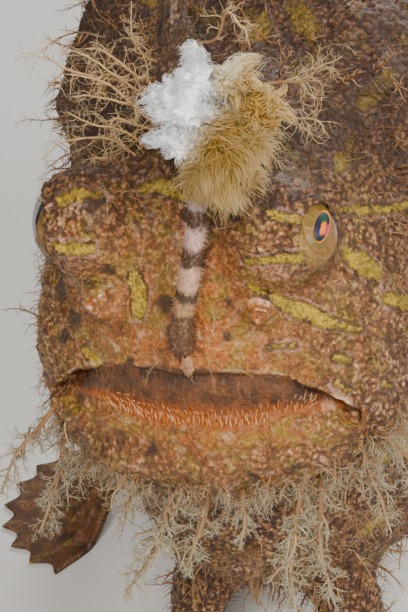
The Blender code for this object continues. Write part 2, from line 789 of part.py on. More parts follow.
FRINGE_LENGTH = mm(4.2)
COAT_TRIES = 1400  # places looked at all over the body
COAT_SPACING = mm(14)
COAT_LENGTH = (mm(5.5), mm(9.0))
COAT_RADIUS = mm(0.62)
CLEAR_OF_EYE = mm(9.0)
CLEAR_OF_CUT = mm(2.2)
BELLY_BARE_Z = mm(22)  # lower than this the belly has no strands, clear of the floor
FACE_HALF_WIDTH = mm(15.5)
FACE_FRONT_Y = mm(-47)


def on_skin(place):
    """The point of the flesh nearest to a place along the line from the heart, and its outward direction."""
    point = on_flesh(place)
    return point[0], flesh_normal(point)[0]


def beard():
    """The hanging flaps along the edge of the lower jaw, long combs and a short fringe."""
    pieces = []
    for root, tip, radius, branches, reach in BEARD:
        start, out = on_skin(root)
        pieces += comb(start - out * radius * 0.5, tip, radius, branches, reach)
    for i in range(FRINGE):
        turn = math.radians(-80 + 160 * i / (FRINGE - 1))
        place = mm(0, -44, 51.2) + np.array((mm(18) * math.sin(turn), -mm(13) * math.cos(turn), 0))
        start, out = on_skin(place)
        lean = out * 0.6 + np.array((random.uniform(-0.3, 0.3), -0.2, -0.9))
        pieces.append(lock(start, lean, FRINGE_LENGTH * random.uniform(0.7, 1.15), mm(0.42), 0.1))
    return pieces


def is_bare(place):
    """Whether a place on the flesh has no long strand: the face, the eyes, fin roots and joint lines."""
    x, y, z = place
    if min(abs(y - NECK_Y), abs(y - TAIL_Y)) < CLEAR_OF_CUT or y > TAIL_FIN_Y - mm(4):
        return True
    if min(np.linalg.norm(place - eye_centre(side)) for side in (-1, 1)) < CLEAR_OF_EYE:
        return True
    if abs(x) < FACE_HALF_WIDTH and y < FACE_FRONT_Y:
        return True
    cut = MOUTH_CORNER[2] + (MOUTH_CORNER[1] - y) * math.tan(JAW_TILT)
    if y < NECK_Y and abs(z - cut) < CLEAR_OF_CUT:
        return True
    near_limb = abs(x) > mm(12) and mm(-18) < y < mm(14) and z < mm(52)
    near_leg = y < mm(-16) and z < mm(32)
    on_middle_line = abs(x) < mm(4.5)
    return near_limb or near_leg or on_middle_line or z < BELLY_BARE_Z


def coat():
    """The strands all over the body, an even space apart, each listed under the part that it grows from."""
    grown = {"head": [], "lower_jaw": [], "torso": [], "tail_root": []}
    places = on_flesh(HEART + even_directions(COAT_TRIES, 0.4) * mm(30))
    outward = flesh_normal(places)
    order = random.sample(range(COAT_TRIES), COAT_TRIES)
    taken = []
    for i in order:
        place, out = places[i], outward[i]
        if is_bare(place) or any(np.linalg.norm(place - other) < COAT_SPACING for other in taken):
            continue
        taken.append(place)
        if place[1] < NECK_Y:
            cut = MOUTH_CORNER[2] + (MOUTH_CORNER[1] - place[1]) * math.tan(JAW_TILT)
            part = "head" if place[2] > cut else "lower_jaw"
        else:
            part = "torso" if place[1] < TAIL_Y else "tail_root"
        lean = out + np.array((random.uniform(-0.3, 0.3), 0.3, 0.1))
        length = random.uniform(*COAT_LENGTH)
        grown[part].append(lock(place, lean, length, COAT_RADIUS, 0.42, rows=4, sink=mm(1.3)))
    return grown


def nostrils(head):
    """The two short tubes of the nostrils, with their bores."""
    for side in (-1, 1):
        place, out = on_skin(NOSTRIL * (side, 1, 1))
        path = place + out * np.array([mm(-1.2), NOSTRIL_HEIGHT * 0.5, NOSTRIL_HEIGHT])[:, None]
        join_pieces(head, [tube_object("nostril", path, NOSTRIL_RADII, 8)])
        bore = np.array([place - out * mm(0.4), place + out * mm(4)])
        boolean(head, tube_object("bore", bore, (NOSTRIL_BORE, NOSTRIL_BORE), 6), "DIFFERENCE")


def shade(angle):
    """Shades every piece smooth, but for its edges that are sharper than angle."""
    for obj in bpy.context.scene.objects:
        obj.data.shade_smooth()
        obj.data.set_sharp_from_angle(angle=angle)


def stand_on_origin():
    """Moves the fish so that its origin is the middle of its box, at the floor."""
    meshes = [o for o in bpy.context.scene.objects if o.type == "MESH"]
    points = np.array([v.co for o in meshes for v in o.data.vertices])
    middle = (points.min(0) + points.max(0)) / 2
    shift = Vector((-middle[0], -middle[1], -points[:, 2].min()))
    for obj in meshes:
        for vertex in obj.data.vertices:
            vertex.co += shift


def main():
    for obj in list(bpy.data.objects):
        bpy.data.objects.remove(obj)
    body_parts()
    eyes()
    lure()
    free_spine("second_spine", SECOND_SPINE, SECOND_SPINE_RADII, 0.75, SECOND_SPINE_STRANDS)
    free_spine("third_spine", THIRD_SPINE, THIRD_SPINE_RADII, 0.6)
    long_fin("dorsal_fin", DORSAL_RAYS, DORSAL_FRONT, DORSAL_BACK, DORSAL_HEIGHT, True)
    long_fin("anal_fin", ANAL_RAYS, ANAL_FRONT, ANAL_BACK, ANAL_HEIGHT, False)
    tail_fin()
    limbs()
    shade(SHARP_ANGLE)
    stand_on_origin()


main()
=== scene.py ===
"""The looks of a still, life-size shaggy frogfish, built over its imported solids.

Shapes are worked out in millimetres in the frame of the solids' own source, with the floor at zero and
the face towards -Y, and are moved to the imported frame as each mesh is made.
"""

import json
import logging
import math
from collections.abc import Callable
from dataclasses import dataclass, field
from enum import Enum

import bpy
import numpy as np
from mathutils import Matrix, Vector, noise

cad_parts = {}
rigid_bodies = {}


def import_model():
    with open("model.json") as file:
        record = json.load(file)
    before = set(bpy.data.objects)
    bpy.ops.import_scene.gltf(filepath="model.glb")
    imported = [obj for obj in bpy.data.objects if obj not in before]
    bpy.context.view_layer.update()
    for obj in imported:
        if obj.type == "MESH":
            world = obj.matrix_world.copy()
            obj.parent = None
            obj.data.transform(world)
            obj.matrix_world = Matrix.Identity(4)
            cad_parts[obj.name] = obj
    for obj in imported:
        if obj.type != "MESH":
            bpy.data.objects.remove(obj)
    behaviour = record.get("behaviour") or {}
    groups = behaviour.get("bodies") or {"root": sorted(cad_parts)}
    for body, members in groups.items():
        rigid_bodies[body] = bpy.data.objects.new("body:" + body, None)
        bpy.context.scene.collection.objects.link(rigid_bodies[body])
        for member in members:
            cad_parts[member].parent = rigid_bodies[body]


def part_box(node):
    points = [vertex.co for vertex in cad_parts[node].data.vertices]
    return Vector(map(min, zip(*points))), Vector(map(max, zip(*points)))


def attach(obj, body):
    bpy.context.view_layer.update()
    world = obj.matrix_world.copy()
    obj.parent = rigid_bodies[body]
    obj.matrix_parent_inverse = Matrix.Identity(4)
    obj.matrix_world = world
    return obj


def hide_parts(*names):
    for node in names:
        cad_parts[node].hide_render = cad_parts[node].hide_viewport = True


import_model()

LOG = logging.getLogger("frogfish")
MM = 0.001
Points = np.ndarray
Field = Callable[[Points], Points]
Colour = tuple[float, float, float, float]
Place = tuple[float, float, float]
Pixels = tuple[tuple[float, float], ...]


def srgb(red: int, green: int, blue: int) -> Colour:
    """A colour as the shader's linear values.

    Args:
        red: Its red in steps of 8 bits.
        green: Its green.
        blue: Its blue.

    Returns:
        The linear colour, opaque.
    """
    steps = np.array((red, green, blue)) / 255
    linear = np.where(steps <= 0.04045, steps / 12.92, ((steps + 0.055) / 1.055) ** 2.4)
    return (float(linear[0]), float(linear[1]), float(linear[2]), 1.0)


def unit(vectors: Points) -> Points:
    """Vectors at unit length."""
    return vectors / np.maximum(np.linalg.norm(vectors, axis=-1, keepdims=True), 1e-9)


def folded(points: Points) -> Points:
    """Places, mirrored to the fish's left side."""
    return np.abs(points * (1, 0, 0)) + points * (0, 1, 1)


def upright(axis: Points) -> Points:
    """The unit direction square to an axis that rises most."""
    return unit(np.array((0, 0, 1.0)) - axis * axis[2])


def smooth_min(first: Points, second: Points, reach: float) -> Points:
    """The smaller of two distances, rounded over where they are close.

    Args:
        first: Distances to one form.
        second: Distances to the other.
        reach: How far apart the two may be and still be blended.

    Returns:
        The blended distances.
    """
    share = np.clip(0.5 + 0.5 * (second - first) / reach, 0, 1)
    return second * (1 - share) + first * share - reach * share * (1 - share)


def step_up(values: Points, low: float, high: float) -> Points:
    """A smooth step from 0 at low to 1 at high."""
    share = np.clip((values - low) / (high - low), 0, 1)
    return share * share * (3 - 2 * share)


def fractal(points: Points, size: float, octaves: int = 4) -> Points:
    """Soft noise about -1 to 1 at each point.

    Args:
        points: Places in millimetres.
        size: Width of the largest lumps in millimetres.
        octaves: How many finer layers are added.

    Returns:
        One value for each point.
    """
    scaled = (points / size).tolist()
    return np.array([noise.fractal(place, 0.9, 2.0, octaves) for place in scaled])


def cells(points: Points, size: float) -> Points:
    """Rounded pebbles: 1 in the middle of each cell and 0 at its edge.

    Args:
        points: Places in millimetres.
        size: Width of a cell in millimetres.

    Returns:
        One value for each point.
    """
    scaled = (points / size).tolist()
    near = np.array([noise.voronoi(place)[0][:2] for place in scaled])
    return np.clip((near[:, 1] - near[:, 0]) * 1.6, 0, 1)


def between_knots(padded: Points, index: Points, t: Points) -> Points:
    """Places on a smooth curve, by the four knots round each.

    Args:
        padded: The knots, with one more at either end.
        index: Which span each place is on.
        t: Its share of the way along that span.

    Returns:
        The places.
    """
    a, b, c, d = (padded[index + i] for i in range(4))
    return 0.5 * (2 * b + (c - a) * t + (2 * a - 5 * b + 4 * c - d) * t**2 + (3 * b - a - 3 * c + d) * t**3)


def curve_through(knots: Points, count: int) -> Points:
    """A smooth curve through points.

    Args:
        knots: The points it passes, in order.
        count: How many places along it are wanted.

    Returns:
        The places, count x 3.
    """
    knots = np.asarray(knots, float)
    padded = np.vstack([2 * knots[0] - knots[1], knots, 2 * knots[-1] - knots[-2]])
    places = np.linspace(0, len(knots) - 1 - 1e-9, count)
    index = places.astype(int)
    return between_knots(padded, index, (places - index)[:, None])


def bent(root: Points, bend: Points, tip: Points, rows: int) -> Points:
    """Places along a ray that bends once."""
    share = np.linspace(0, 1, rows)[:, None]
    return root * (1 - share) ** 2 + 2 * bend * share * (1 - share) + tip * share**2


def along_path(points: Points, path: Points) -> tuple[Points, Points]:
    """How far points are from a path, and where along it they are nearest.

    Args:
        points: Places, n x 3.
        path: The path's knots, m x 3.

    Returns:
        The distance and the share of the path's knots, each of n values.
    """
    nearest = np.full(len(points), 1e9)
    share = np.zeros(len(points))
    for i in range(len(path) - 1):
        line = path[i + 1] - path[i]
        t = np.clip((points - path[i]) @ line / max(line @ line, 1e-9), 0, 1)
        gap = np.linalg.norm(points - path[i] - t[:, None] * line, axis=1)
        closer = gap < nearest
        nearest = np.where(closer, gap, nearest)
        share = np.where(closer, (i + t) / (len(path) - 1), share)
    return nearest, share


def march(body: Field, origins: Points, ways: Points, reach: Points, steps: int = 90) -> Points:
    """Places where rays that come in along -ways first meet a form.

    Args:
        body: The form's distance field.
        origins: Where each ray ends, inside the form.
        ways: Unit vectors from there outwards.
        reach: How far out each ray starts.
        steps: The most steps that are taken.

    Returns:
        One place on the form for each ray.
    """
    reach = np.array(reach, float)
    active = np.arange(len(reach))
    for _ in range(steps):
        gap = body(origins[active] + ways[active] * reach[active, None])
        reach[active] -= 0.75 * gap
        active = active[np.abs(gap) > 0.004]
        if len(active) == 0:
            break
    return origins + ways * np.maximum(reach, 0)[:, None]


def slope(body: Field, points: Points, step: float = 0.15) -> Points:
    """The outward unit direction of a distance field at each point."""
    rises = [body(points + axis * step) - body(points - axis * step) for axis in np.eye(3)]
    return unit(np.array(rises).T)


# The fish's own form

EYE_CENTRE = np.array((12.4, -55.6, 79.9))
EYE_TURN = math.radians(69)
EYE_RADIUS = 4.5


def eye_centre(side: int) -> Points:
    """The middle of the eye on one side, 1 for the fish's left and -1 for its right."""
    return EYE_CENTRE * (side, 1, 1)


def eye_axis(side: int) -> Points:
    """The unit direction in which the eye on one side looks."""
    return unit(np.array((side * math.sin(EYE_TURN), -math.cos(EYE_TURN), 0.05)))


@dataclass(frozen=True)
class Mass:
    """One round mass of the flesh, in millimetres."""

    centre: Place
    radii: Place
    blend: float
    paired: bool = False

    def distance(self, points: Points) -> Points:
        """Roughly how far points are outside this mass.

        Args:
            points: Places, n x 3.

        Returns:
            One distance for each point.
        """
        offset = (folded(points) if self.paired else points) - self.centre
        radii = np.array(self.radii)
        near = np.linalg.norm(offset / radii, axis=1)
        steep = np.linalg.norm(offset / radii**2, axis=1)
        return near * (near - 1) / np.maximum(steep, 1e-9)


@dataclass(frozen=True)
class Lip:
    """One lip, in millimetres."""

    rise: float
    lift: float
    radius: float
    blend: float


@dataclass
class Mouth:
    """The upturned mouth: its opening, lips and corners."""

    half_width: float = 17.5
    corner: tuple[float, float] = (-50.0, 58.2)
    front_y: float = -61.0
    depth: float = 1.5
    apex: float = 0.95
    gap: float = 0.15
    ahead: float = 2.5
    lips: dict[str, Lip] = field(default_factory=lambda: {
        "upper": Lip(7.0, 0.6, 0.3, 0.5), "lower": Lip(1.4, -1.5, 1.0, 1.6)})
    paths: dict[str, Points] = field(default_factory=dict)

    def height(self, share: Points, name: str) -> Points:
        """Height of the opening's upper or lower edge at a share of the half width."""
        return self.corner[1] + self.lips[name].rise * (1 - np.abs(share) ** 3.2)

    def front(self, share: Points) -> Points:
        """Where the face lies along the mouth, front to back."""
        return self.front_y + (self.corner[0] - self.front_y) * np.abs(share) ** 2.2

    def settle_lips(self, flesh: Field) -> None:
        """Lays both lips on the flesh.

        Args:
            flesh: The distance field of the plain flesh.
        """
        count = 49
        shares = np.linspace(-0.98, 0.98, count)
        ways = np.tile((0.0, -1.0, 0.0), (count, 1))
        for name, lip in self.lips.items():
            height = self.height(shares, name) + lip.lift
            start = np.stack([shares * self.half_width, np.full(count, -10.0), height], axis=1)
            self.paths[name] = march(lambda p: flesh(p) + lip.radius * 0.3, start, ways, np.full(count, 80.0))

    def lip(self, points: Points, name: str) -> Points:
        """Distance of points to one lip's roll.

        Args:
            points: Places, n x 3.
            name: Which lip, "upper" or "lower".

        Returns:
            One distance for each point.
        """
        path = self.paths[name]
        x = np.clip(points[:, 0], path[0, 0], path[-1, 0])
        y, z = np.interp(x, path[:, 0], path[:, 1]), np.interp(x, path[:, 0], path[:, 2])
        steep = np.hypot(*(np.interp(x, path[:, 0], np.gradient(path[:, k], path[:, 0])) for k in (1, 2)))
        gap = np.linalg.norm(points - np.stack([x, y, z], axis=1), axis=1) / np.sqrt(1 + steep**2)
        return gap - self.lips[name].radius * (1 - 0.45 * np.abs(x / self.half_width) ** 3)

    def cavity(self, points: Points) -> Points:
        """Distance to the open space between the lips, negative inside it.

        Args:
            points: Places, n x 3.

        Returns:
            One distance for each point.
        """
        share = np.clip(points[:, 0] / self.half_width, -1, 1)
        low = self.height(share, "lower") - self.gap
        high = self.height(share, "upper") + self.gap
        mouth_y = self.front(share) - self.ahead
        apex_y = self.front(share) + self.depth * (1 - share**2) + 0.3
        apex_z = low + self.apex * (high - low)
        run = apex_y - mouth_y
        floor_fall, roof_fall = (apex_z - low) / run, (apex_z - high) / run
        ahead = points[:, 1] - mouth_y
        under = (low + floor_fall * ahead - points[:, 2]) / np.sqrt(1 + floor_fall**2)
        over = (points[:, 2] - high - roof_fall * ahead) / np.sqrt(1 + roof_fall**2)
        inside = -smooth_min(-under, -over, 0.9)
        return np.maximum(inside, np.abs(points[:, 0]) - self.half_width)


@dataclass
class Flesh:
    """The soft body of the fish as one rounded form, in millimetres."""

    masses: tuple[Mass, ...] = (
        Mass((0, -2, 58), (28, 50, 41), 6),
        Mass((10, -11, 82), (17, 27, 16.5), 7, True),
        Mass((0, -8, 38), (23, 36, 26), 6),
        Mass((0, 34, 60), (14, 34, 24), 6),
        Mass((0, 58, 60), (7, 20, 10.5), 5),
        Mass((0, -38.5, 68), (20.5, 22, 24), 5),
        Mass((0, -33, 43), (15, 18, 17), 5),
        Mass((12, -43, 61), (10, 13, 14), 4, True),
        Mass((0, -49.3, 54.6), (17.6, 12.7, 7.4), 4),
    )
    heart: Place = (0.0, -27.0, 63.0)
    outside: float = 120.0
    brow: Mass = Mass((0, 0, 0), (6.2, 6.2, 6.2), 2.8)
    brow_set_back: float = 2.3
    nostril: Place = (8.7, -58.4, 72.2)
    nostril_mound: float = 1.7
    stalk_root: Place = (0.4, -59.0, 66.6)
    stalk_mound: float = 1.9
    socket_ahead: float = 2.35
    socket_rise: float = 0.35
    socket_radius: float = 3.25
    front: float = -40.0
    mouth: Mouth = field(default_factory=Mouth)

    def __post_init__(self) -> None:
        """Lays the lips on the plain flesh."""
        self.mouth.settle_lips(self.plain)

    def plain(self, points: Points) -> Points:
        """Distance to the flesh without the features of its face.

        Args:
            points: Places, n x 3.

        Returns:
            One distance for each point.
        """
        distance = np.full(len(points), 900.0)
        for mass in self.masses:
            distance = smooth_min(distance, mass.distance(points), mass.blend)
        brow = eye_centre(1) - eye_axis(1) * self.brow_set_back
        return smooth_min(distance, self.brow.distance(folded(points) - brow), self.brow.blend)

    def whole(self, points: Points) -> Points:
        """Distance to the flesh with its lips, mouth, nostril mounds and eye sockets.

        Args:
            points: Places, n x 3.

        Returns:
            One distance for each point.
        """
        distance = self.plain(points)
        front = points[:, 1] < self.front
        if not front.any():
            return distance
        near, spot, left = distance[front], points[front], folded(points[front])
        for name, lip in self.mouth.lips.items():
            near = smooth_min(near, self.mouth.lip(spot, name), lip.blend)
        near = smooth_min(near, np.linalg.norm(left - self.nostril, axis=1) - self.nostril_mound, 1.4)
        near = smooth_min(near, np.linalg.norm(spot - self.stalk_root, axis=1) - self.stalk_mound, 1.6)
        near = -smooth_min(-near, self.mouth.cavity(spot), 0.9)
        hollow = left - eye_centre(1) - eye_axis(1) * self.socket_ahead - (0, 0, self.socket_rise)
        distance[front] = -smooth_min(-near, np.linalg.norm(hollow, axis=1) - self.socket_radius, 0.35)
        return distance

    def beyond(self, points: Points, body: Field | None = None) -> Points:
        """The places of the flesh beyond some points, seen from its heart.

        Args:
            points: Places on the way out, n x 3.
            body: The field to meet, the plain flesh where it is left out.

        Returns:
            The places, n x 3.
        """
        ways = unit(np.atleast_2d(points) - self.heart)
        origins = np.tile(self.heart, (len(ways), 1))
        return march(body or self.plain, origins, ways, np.full(len(ways), self.outside))


FLESH = Flesh()


def packed_shift() -> Points:
    """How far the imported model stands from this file's frame, in millimetres, by its eyes."""
    corners = [np.array(corner) for node in ("eye_left", "eye_right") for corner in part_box(node)]
    return np.mean(corners, axis=0) / MM - (0, EYE_CENTRE[1], EYE_CENTRE[2])


SHIFT = packed_shift()


def floor_height() -> float:
    """The floor's height in this file's frame, in millimetres."""
    return -float(SHIFT[2])


# Meshes


@dataclass
class Shell:
    """Points, triangles and the values that the finishes read, before they become a mesh."""

    points: Points
    triangles: Points
    values: dict[str, Points] = field(default_factory=dict)
    uvs: Points | None = None

    def add(self, other: "Shell") -> "Shell":
        """This shell and another as one.

        Args:
            other: A shell with the same values.

        Returns:
            The joined shell.
        """
        values = {key: np.concatenate([self.values[key], other.values[key]]) for key in self.values}
        uvs = None if self.uvs is None else np.vstack([self.uvs, other.uvs])
        return Shell(np.vstack([self.points, other.points]),
                     np.vstack([self.triangles, other.triangles + len(self.points)]), values, uvs)

    def mesh(self, name: str) -> bpy.types.Mesh:
        """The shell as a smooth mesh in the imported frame.

        Args:
            name: The mesh's name.

        Returns:
            The mesh, with each value as an attribute and the UV map for baking.
        """
        mesh = bpy.data.meshes.new(name)
        mesh.vertices.add(len(self.points))
        mesh.vertices.foreach_set("co", ((self.points + SHIFT) * MM).astype(np.float32).ravel())
        mesh.loops.add(self.triangles.size)
        corners = self.triangles.astype(np.int32).ravel()
        mesh.loops.foreach_set("vertex_index", corners)
        mesh.polygons.add(len(self.triangles))
        starts = np.arange(len(self.triangles), dtype=np.int32) * 3
        mesh.polygons.foreach_set("loop_start", starts)
        mesh.update(calc_edges=True)
        mesh.shade_smooth()
        for key, value in self.values.items():
            store(mesh, key, value)
        if self.uvs is not None:
            layer = mesh.uv_layers.new(name="OFBake")
            layer.uv.foreach_set("vector", self.uvs[corners].astype(np.float32).ravel())
        return mesh

    def piece(self, name: str, finish: bpy.types.Material, slot: str, *nodes: str) -> bpy.types.Object:
        """The shell as a piece of the model.

        Args:
            name: The piece's name.
            finish: Its material.
            slot: The record's material slot; not used.
            *nodes: The solids that it stands for.

        Returns:
            The new object.
        """
        made = bpy.data.objects.new(name, self.mesh(name))
        bpy.context.scene.collection.objects.link(made)
        made.data.materials.append(finish)
        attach(made, "root")
        if nodes:
            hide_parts(*nodes)
        LOG.info("%s: %d triangles", name, len(self.triangles))
        return made


def store(mesh: bpy.types.Mesh, key: str, value: Points) -> None:
    """Keeps one value per point on a mesh, a number or a vector."""
    kind, slot = ("FLOAT", "value") if value.ndim == 1 else ("FLOAT_VECTOR", "vector")
    mesh.attributes.new(key, kind, "POINT").data.foreach_set(slot, value.astype(np.float32).ravel())


def wall(rows: int, sides: int) -> Points:
    """The triangles between the rings of a tube.

    Args:
        rows: How many rings.
        sides: Points round each.

    Returns:
        The triangles, n x 3.
    """
    index = np.arange(rows * sides).reshape(rows, sides)
    here, over = index[:-1], np.roll(index, -1, axis=1)[:-1]
    up, across = index[1:], np.roll(index, -1, axis=1)[1:]
    halves = [np.stack([here, over, across], -1), np.stack([here, across, up], -1)]
    return np.concatenate(halves).reshape(-1, 3)


def tube(path: Points, radii: Points, sides: int, flat: float = 1.0,
         first: Points | None = None) -> Shell:
    """A closed round tube.

    Args:
        path: Its middle line, n x 3.
        radii: Its radius at each place.
        sides: Points round it.
        flat: How much narrower it is across first.
        first: The direction of its narrow side.

    Returns:
        The tube, with the share of its length at each point.
    """
    ahead = unit(np.gradient(path, axis=0))
    first = np.cross(ahead[0], (0.3, 0.2, 0.93)) if first is None else np.array(first, float)
    rings = []
    turns = 2 * math.pi * np.arange(sides) / sides
    for place, way, radius in zip(path, ahead, radii):
        first = unit(first - way * (first @ way))
        second = np.cross(way, first)
        ring = np.outer(np.cos(turns) * flat, first) + np.outer(np.sin(turns), second)
        rings.append(place + ring * radius)
    points = np.vstack([np.vstack(rings), path[0], path[-1]])
    count = len(path)
    rim, after = np.arange(sides), np.roll(np.arange(sides), -1)
    last = (count - 1) * sides
    first_end = np.stack([after, rim, np.full(sides, count * sides)], 1)
    last_end = np.stack([rim + last, after + last, np.full(sides, count * sides + 1)], 1)
    along = np.append(np.repeat(np.linspace(0, 1, count), sides), (0, 1))
    triangles = np.vstack([wall(count, sides), first_end, last_end])
    return Shell(points, triangles, {"along": along})


# The photograph's view


@dataclass
class View:
    """The camera of the photograph, set by where it shows the fish's features."""

    azimuth: float = math.radians(19)
    elevation: float = math.radians(26)
    roll: float = math.radians(5)
    target: Place = (-0.17, -50.0, 68.15)
    distance: float = 196.35
    lens: float = 105.0
    sensor: float = 36.0
    width: int = 408
    height: int = 612

    def focal(self) -> float:
        """Its focal length in pixels."""
        return self.lens / self.sensor * max(self.width, self.height)

    def pixel(self) -> float:
        """The width of a pixel at the face, in millimetres."""
        return self.distance / self.focal()

    def axes(self) -> tuple[Points, Points, Points]:
        """The camera's own directions.

        Returns:
            Its right, up and backward unit directions.
        """
        a, e = self.azimuth, self.elevation
        back = np.array((math.sin(a) * math.cos(e), -math.cos(a) * math.cos(e), math.sin(e)))
        level = np.array((math.cos(a), math.sin(a), 0))
        above = np.cross(back, level)
        right = level * math.cos(self.roll) - above * math.sin(self.roll)
        up = above * math.cos(self.roll) + level * math.sin(self.roll)
        return right, up, back

    def place(self) -> Points:
        """Where the camera stands."""
        return np.array(self.target) + self.axes()[2] * self.distance

    def rays(self, pixels: Points) -> Points:
        """The directions from the camera through pixels of the photograph.

        Args:
            pixels: Columns and rows, n x 2.

        Returns:
            The directions, each one step deep.
        """
        right, up, back = self.axes()
        across = (pixels[:, 0] - self.width / 2) / self.focal()
        above = (self.height / 2 - pixels[:, 1]) / self.focal()
        return np.outer(across, right) + np.outer(above, up) - back

    def on(self, body: Field, pixels: Points) -> Points:
        """The places on a form that pixels of the photograph show.

        Args:
            body: The form's distance field.
            pixels: Columns and rows, n x 2, in the photograph's frame.

        Returns:
            The places, n x 3.
        """
        rays = unit(self.rays(np.atleast_2d(pixels).astype(float)))
        reach = np.full(len(rays), self.distance * 0.7)
        for _ in range(90):
            reach += 0.8 * body(self.place() + rays * reach[:, None])
        return self.place() + rays * np.minimum(reach, self.distance * 1.5)[:, None]

    def at_depth(self, pixels: Points, depth: Points) -> Points:
        """The places where the rays of pixels cross given depths, front to back.

        Args:
            pixels: Columns and rows, n x 2, in the photograph's frame.
            depth: The Y of each place.

        Returns:
            The places, n x 3.
        """
        rays = self.rays(pixels)
        return self.place() + rays * ((depth - self.place()[1]) / rays[:, 1])[:, None]

    def build(self) -> bpy.types.Object:
        """The camera itself.

        Returns:
            The scene's camera.
        """
        data = bpy.data.cameras.new("camera")
        data.lens, data.sensor_width, data.sensor_fit = self.lens, self.sensor, "AUTO"
        data.clip_start = 0.005
        made = bpy.data.objects.new("camera", data)
        bpy.context.scene.collection.objects.link(made)
        columns = np.array([*self.axes(), (self.place() + SHIFT) * MM]).T
        made.matrix_world = Matrix([*columns.tolist(), [0, 0, 0, 1]])
        bpy.context.scene.camera = made
        return made


VIEW = View()


@dataclass(frozen=True)
class Stroke:
    """A line drawn over the photograph: the pixels that it passes and its width there, in pixels."""

    pixels: Pixels
    widths: tuple[float, ...]
    height: float = 0.0

    def lay(self, count: int = 9) -> tuple[Points, Points]:
        """The stroke on the flesh.

        Args:
            count: Places along it.

        Returns:
            Its places in millimetres and its half width at each.
        """
        places = VIEW.on(FLESH.plain, np.array(self.pixels))
        halves = np.interp(np.linspace(0, 1, count), np.linspace(0, 1, len(self.widths)), self.widths)
        return curve_through(places, count), halves * VIEW.pixel() / 2


@dataclass(frozen=True)
class Lining:
    """The bare lining that shows in the mouth, between the upper lip's edge and the teeth."""

    upper: Stroke = Stroke(((66, 389), (74, 379), (92, 371), (155, 364), (197, 366), (229, 371), (269, 380),
                            (324, 389), (344, 396), (364, 408)), (1,))
    lower: Stroke = Stroke(((66, 391), (84, 396), (104, 398), (130, 413), (166, 422), (204, 425), (234, 427),
                            (286, 415), (312, 415), (334, 415), (364, 412)), (1,))
    soft: tuple[float, float] = (-0.15, 0.35)

    def cover(self, points: Points) -> tuple[Points, Points]:
        """How much points belong to the lining, and how high in it they lie.

        Args:
            points: Places, n x 3.

        Returns:
            The cover from 0 to 1, and the height from 0 at the teeth to 1 at the upper lip.
        """
        edges = [stroke.lay(40)[0] for stroke in (self.upper, self.lower)]
        high, low = (np.interp(points[:, 0], edge[:, 0], edge[:, 2], 0, 0) for edge in edges)
        inside = np.minimum(points[:, 2] - low, high - points[:, 2] + 0.1)
        height = (points[:, 2] - low) / np.maximum(high - low, 0.8)
        return step_up(inside, *self.soft) * (high > 0) * (points[:, 1] < -44), np.clip(height, 0, 1)


class Tone(Enum):
    """What a blotch of the face is tinted with, as its axis in the tint that the finish reads."""

    # Dark spots of the skin, together with painted shade in hollows and folds.
    DARK = 0
    OCHRE = 1
    PINK = 2


@dataclass(frozen=True)
class Blotches:
    """Soft spots of one tone on the face: column, row and radius in the photograph's pixels."""

    tone: Tone
    spots: tuple[tuple[float, float, float], ...]

    def cover(self, points: Points) -> Points:
        """How much points are tinted.

        Args:
            points: Places, n x 3.

        Returns:
            The share of each, from 0 to 1.
        """
        share = np.zeros(len(points))
        near = np.nonzero(points[:, 1] < -36)[0]
        places = VIEW.on(FLESH.plain, np.array(self.spots)[:, :2])
        warped = points[near] + 0.5 * fractal(points[near], 1.6, 3)[:, None]
        for place, (_, _, radius) in zip(places, self.spots):
            gap = np.linalg.norm(warped - place, axis=1) / (radius * VIEW.pixel())
            share[near] = np.maximum(share[near], 1 - step_up(gap, 0.55, 1.15))
        return share


BLOTCHES = (
    # Dark blotches: partly the skin's dark spots, partly painted shade in hollows among the strands and in
    # folds.
    Blotches(Tone.DARK, (
        (108, 268, 9), (62, 290, 14), (74, 318, 15), (64, 336, 11), (92, 203, 12), (166, 304, 12),
        (172, 330, 8), (234, 217, 9), (272, 200, 11), (290, 196, 9), (356, 277, 5), (369, 290, 7),
        (395, 262, 6), (386, 340, 6), (403, 226, 8), (356, 431, 7), (364, 452, 7), (337, 467, 6),
        (296, 469, 7), (252, 479, 8), (78, 392, 12), (200, 262, 7), (186, 214, 8), (316, 178, 12),
        (366, 158, 14), (330, 120, 12), (388, 118, 12), (250, 60, 14), (280, 84, 12), (352, 60, 14),
        (346, 24, 12), (402, 40, 14), (120, 436, 9), (150, 452, 8), (392, 180, 8), (226, 338, 6),
        (131, 362, 7), (306, 283, 5), (230, 300, 6))),
    Blotches(Tone.OCHRE, (
        (74, 226, 13), (62, 237, 5), (136, 246, 16), (113, 346, 6), (148, 346, 9), (224, 256, 17),
        (214, 290, 14), (250, 349, 11), (226, 372, 9), (250, 432, 16), (282, 430, 14), (216, 436, 14),
        (310, 372, 12), (122, 296, 10), (346, 372, 8), (184, 438, 11), (204, 318, 9), (270, 312, 7),
        (236, 190, 8))),
    Blotches(Tone.PINK, (
        (127, 342, 6), (147, 320, 9), (313, 334, 13), (288, 285, 10), (330, 300, 12), (352, 306, 11),
        (376, 322, 11), (258, 338, 8), (300, 238, 10), (172, 222, 8), (238, 236, 10), (274, 244, 9),
        (338, 404, 15), (320, 430, 9), (110, 240, 8), (158, 278, 8), (322, 196, 6), (372, 236, 10),
        (394, 290, 8), (140, 212, 8), (270, 365, 7))),
)


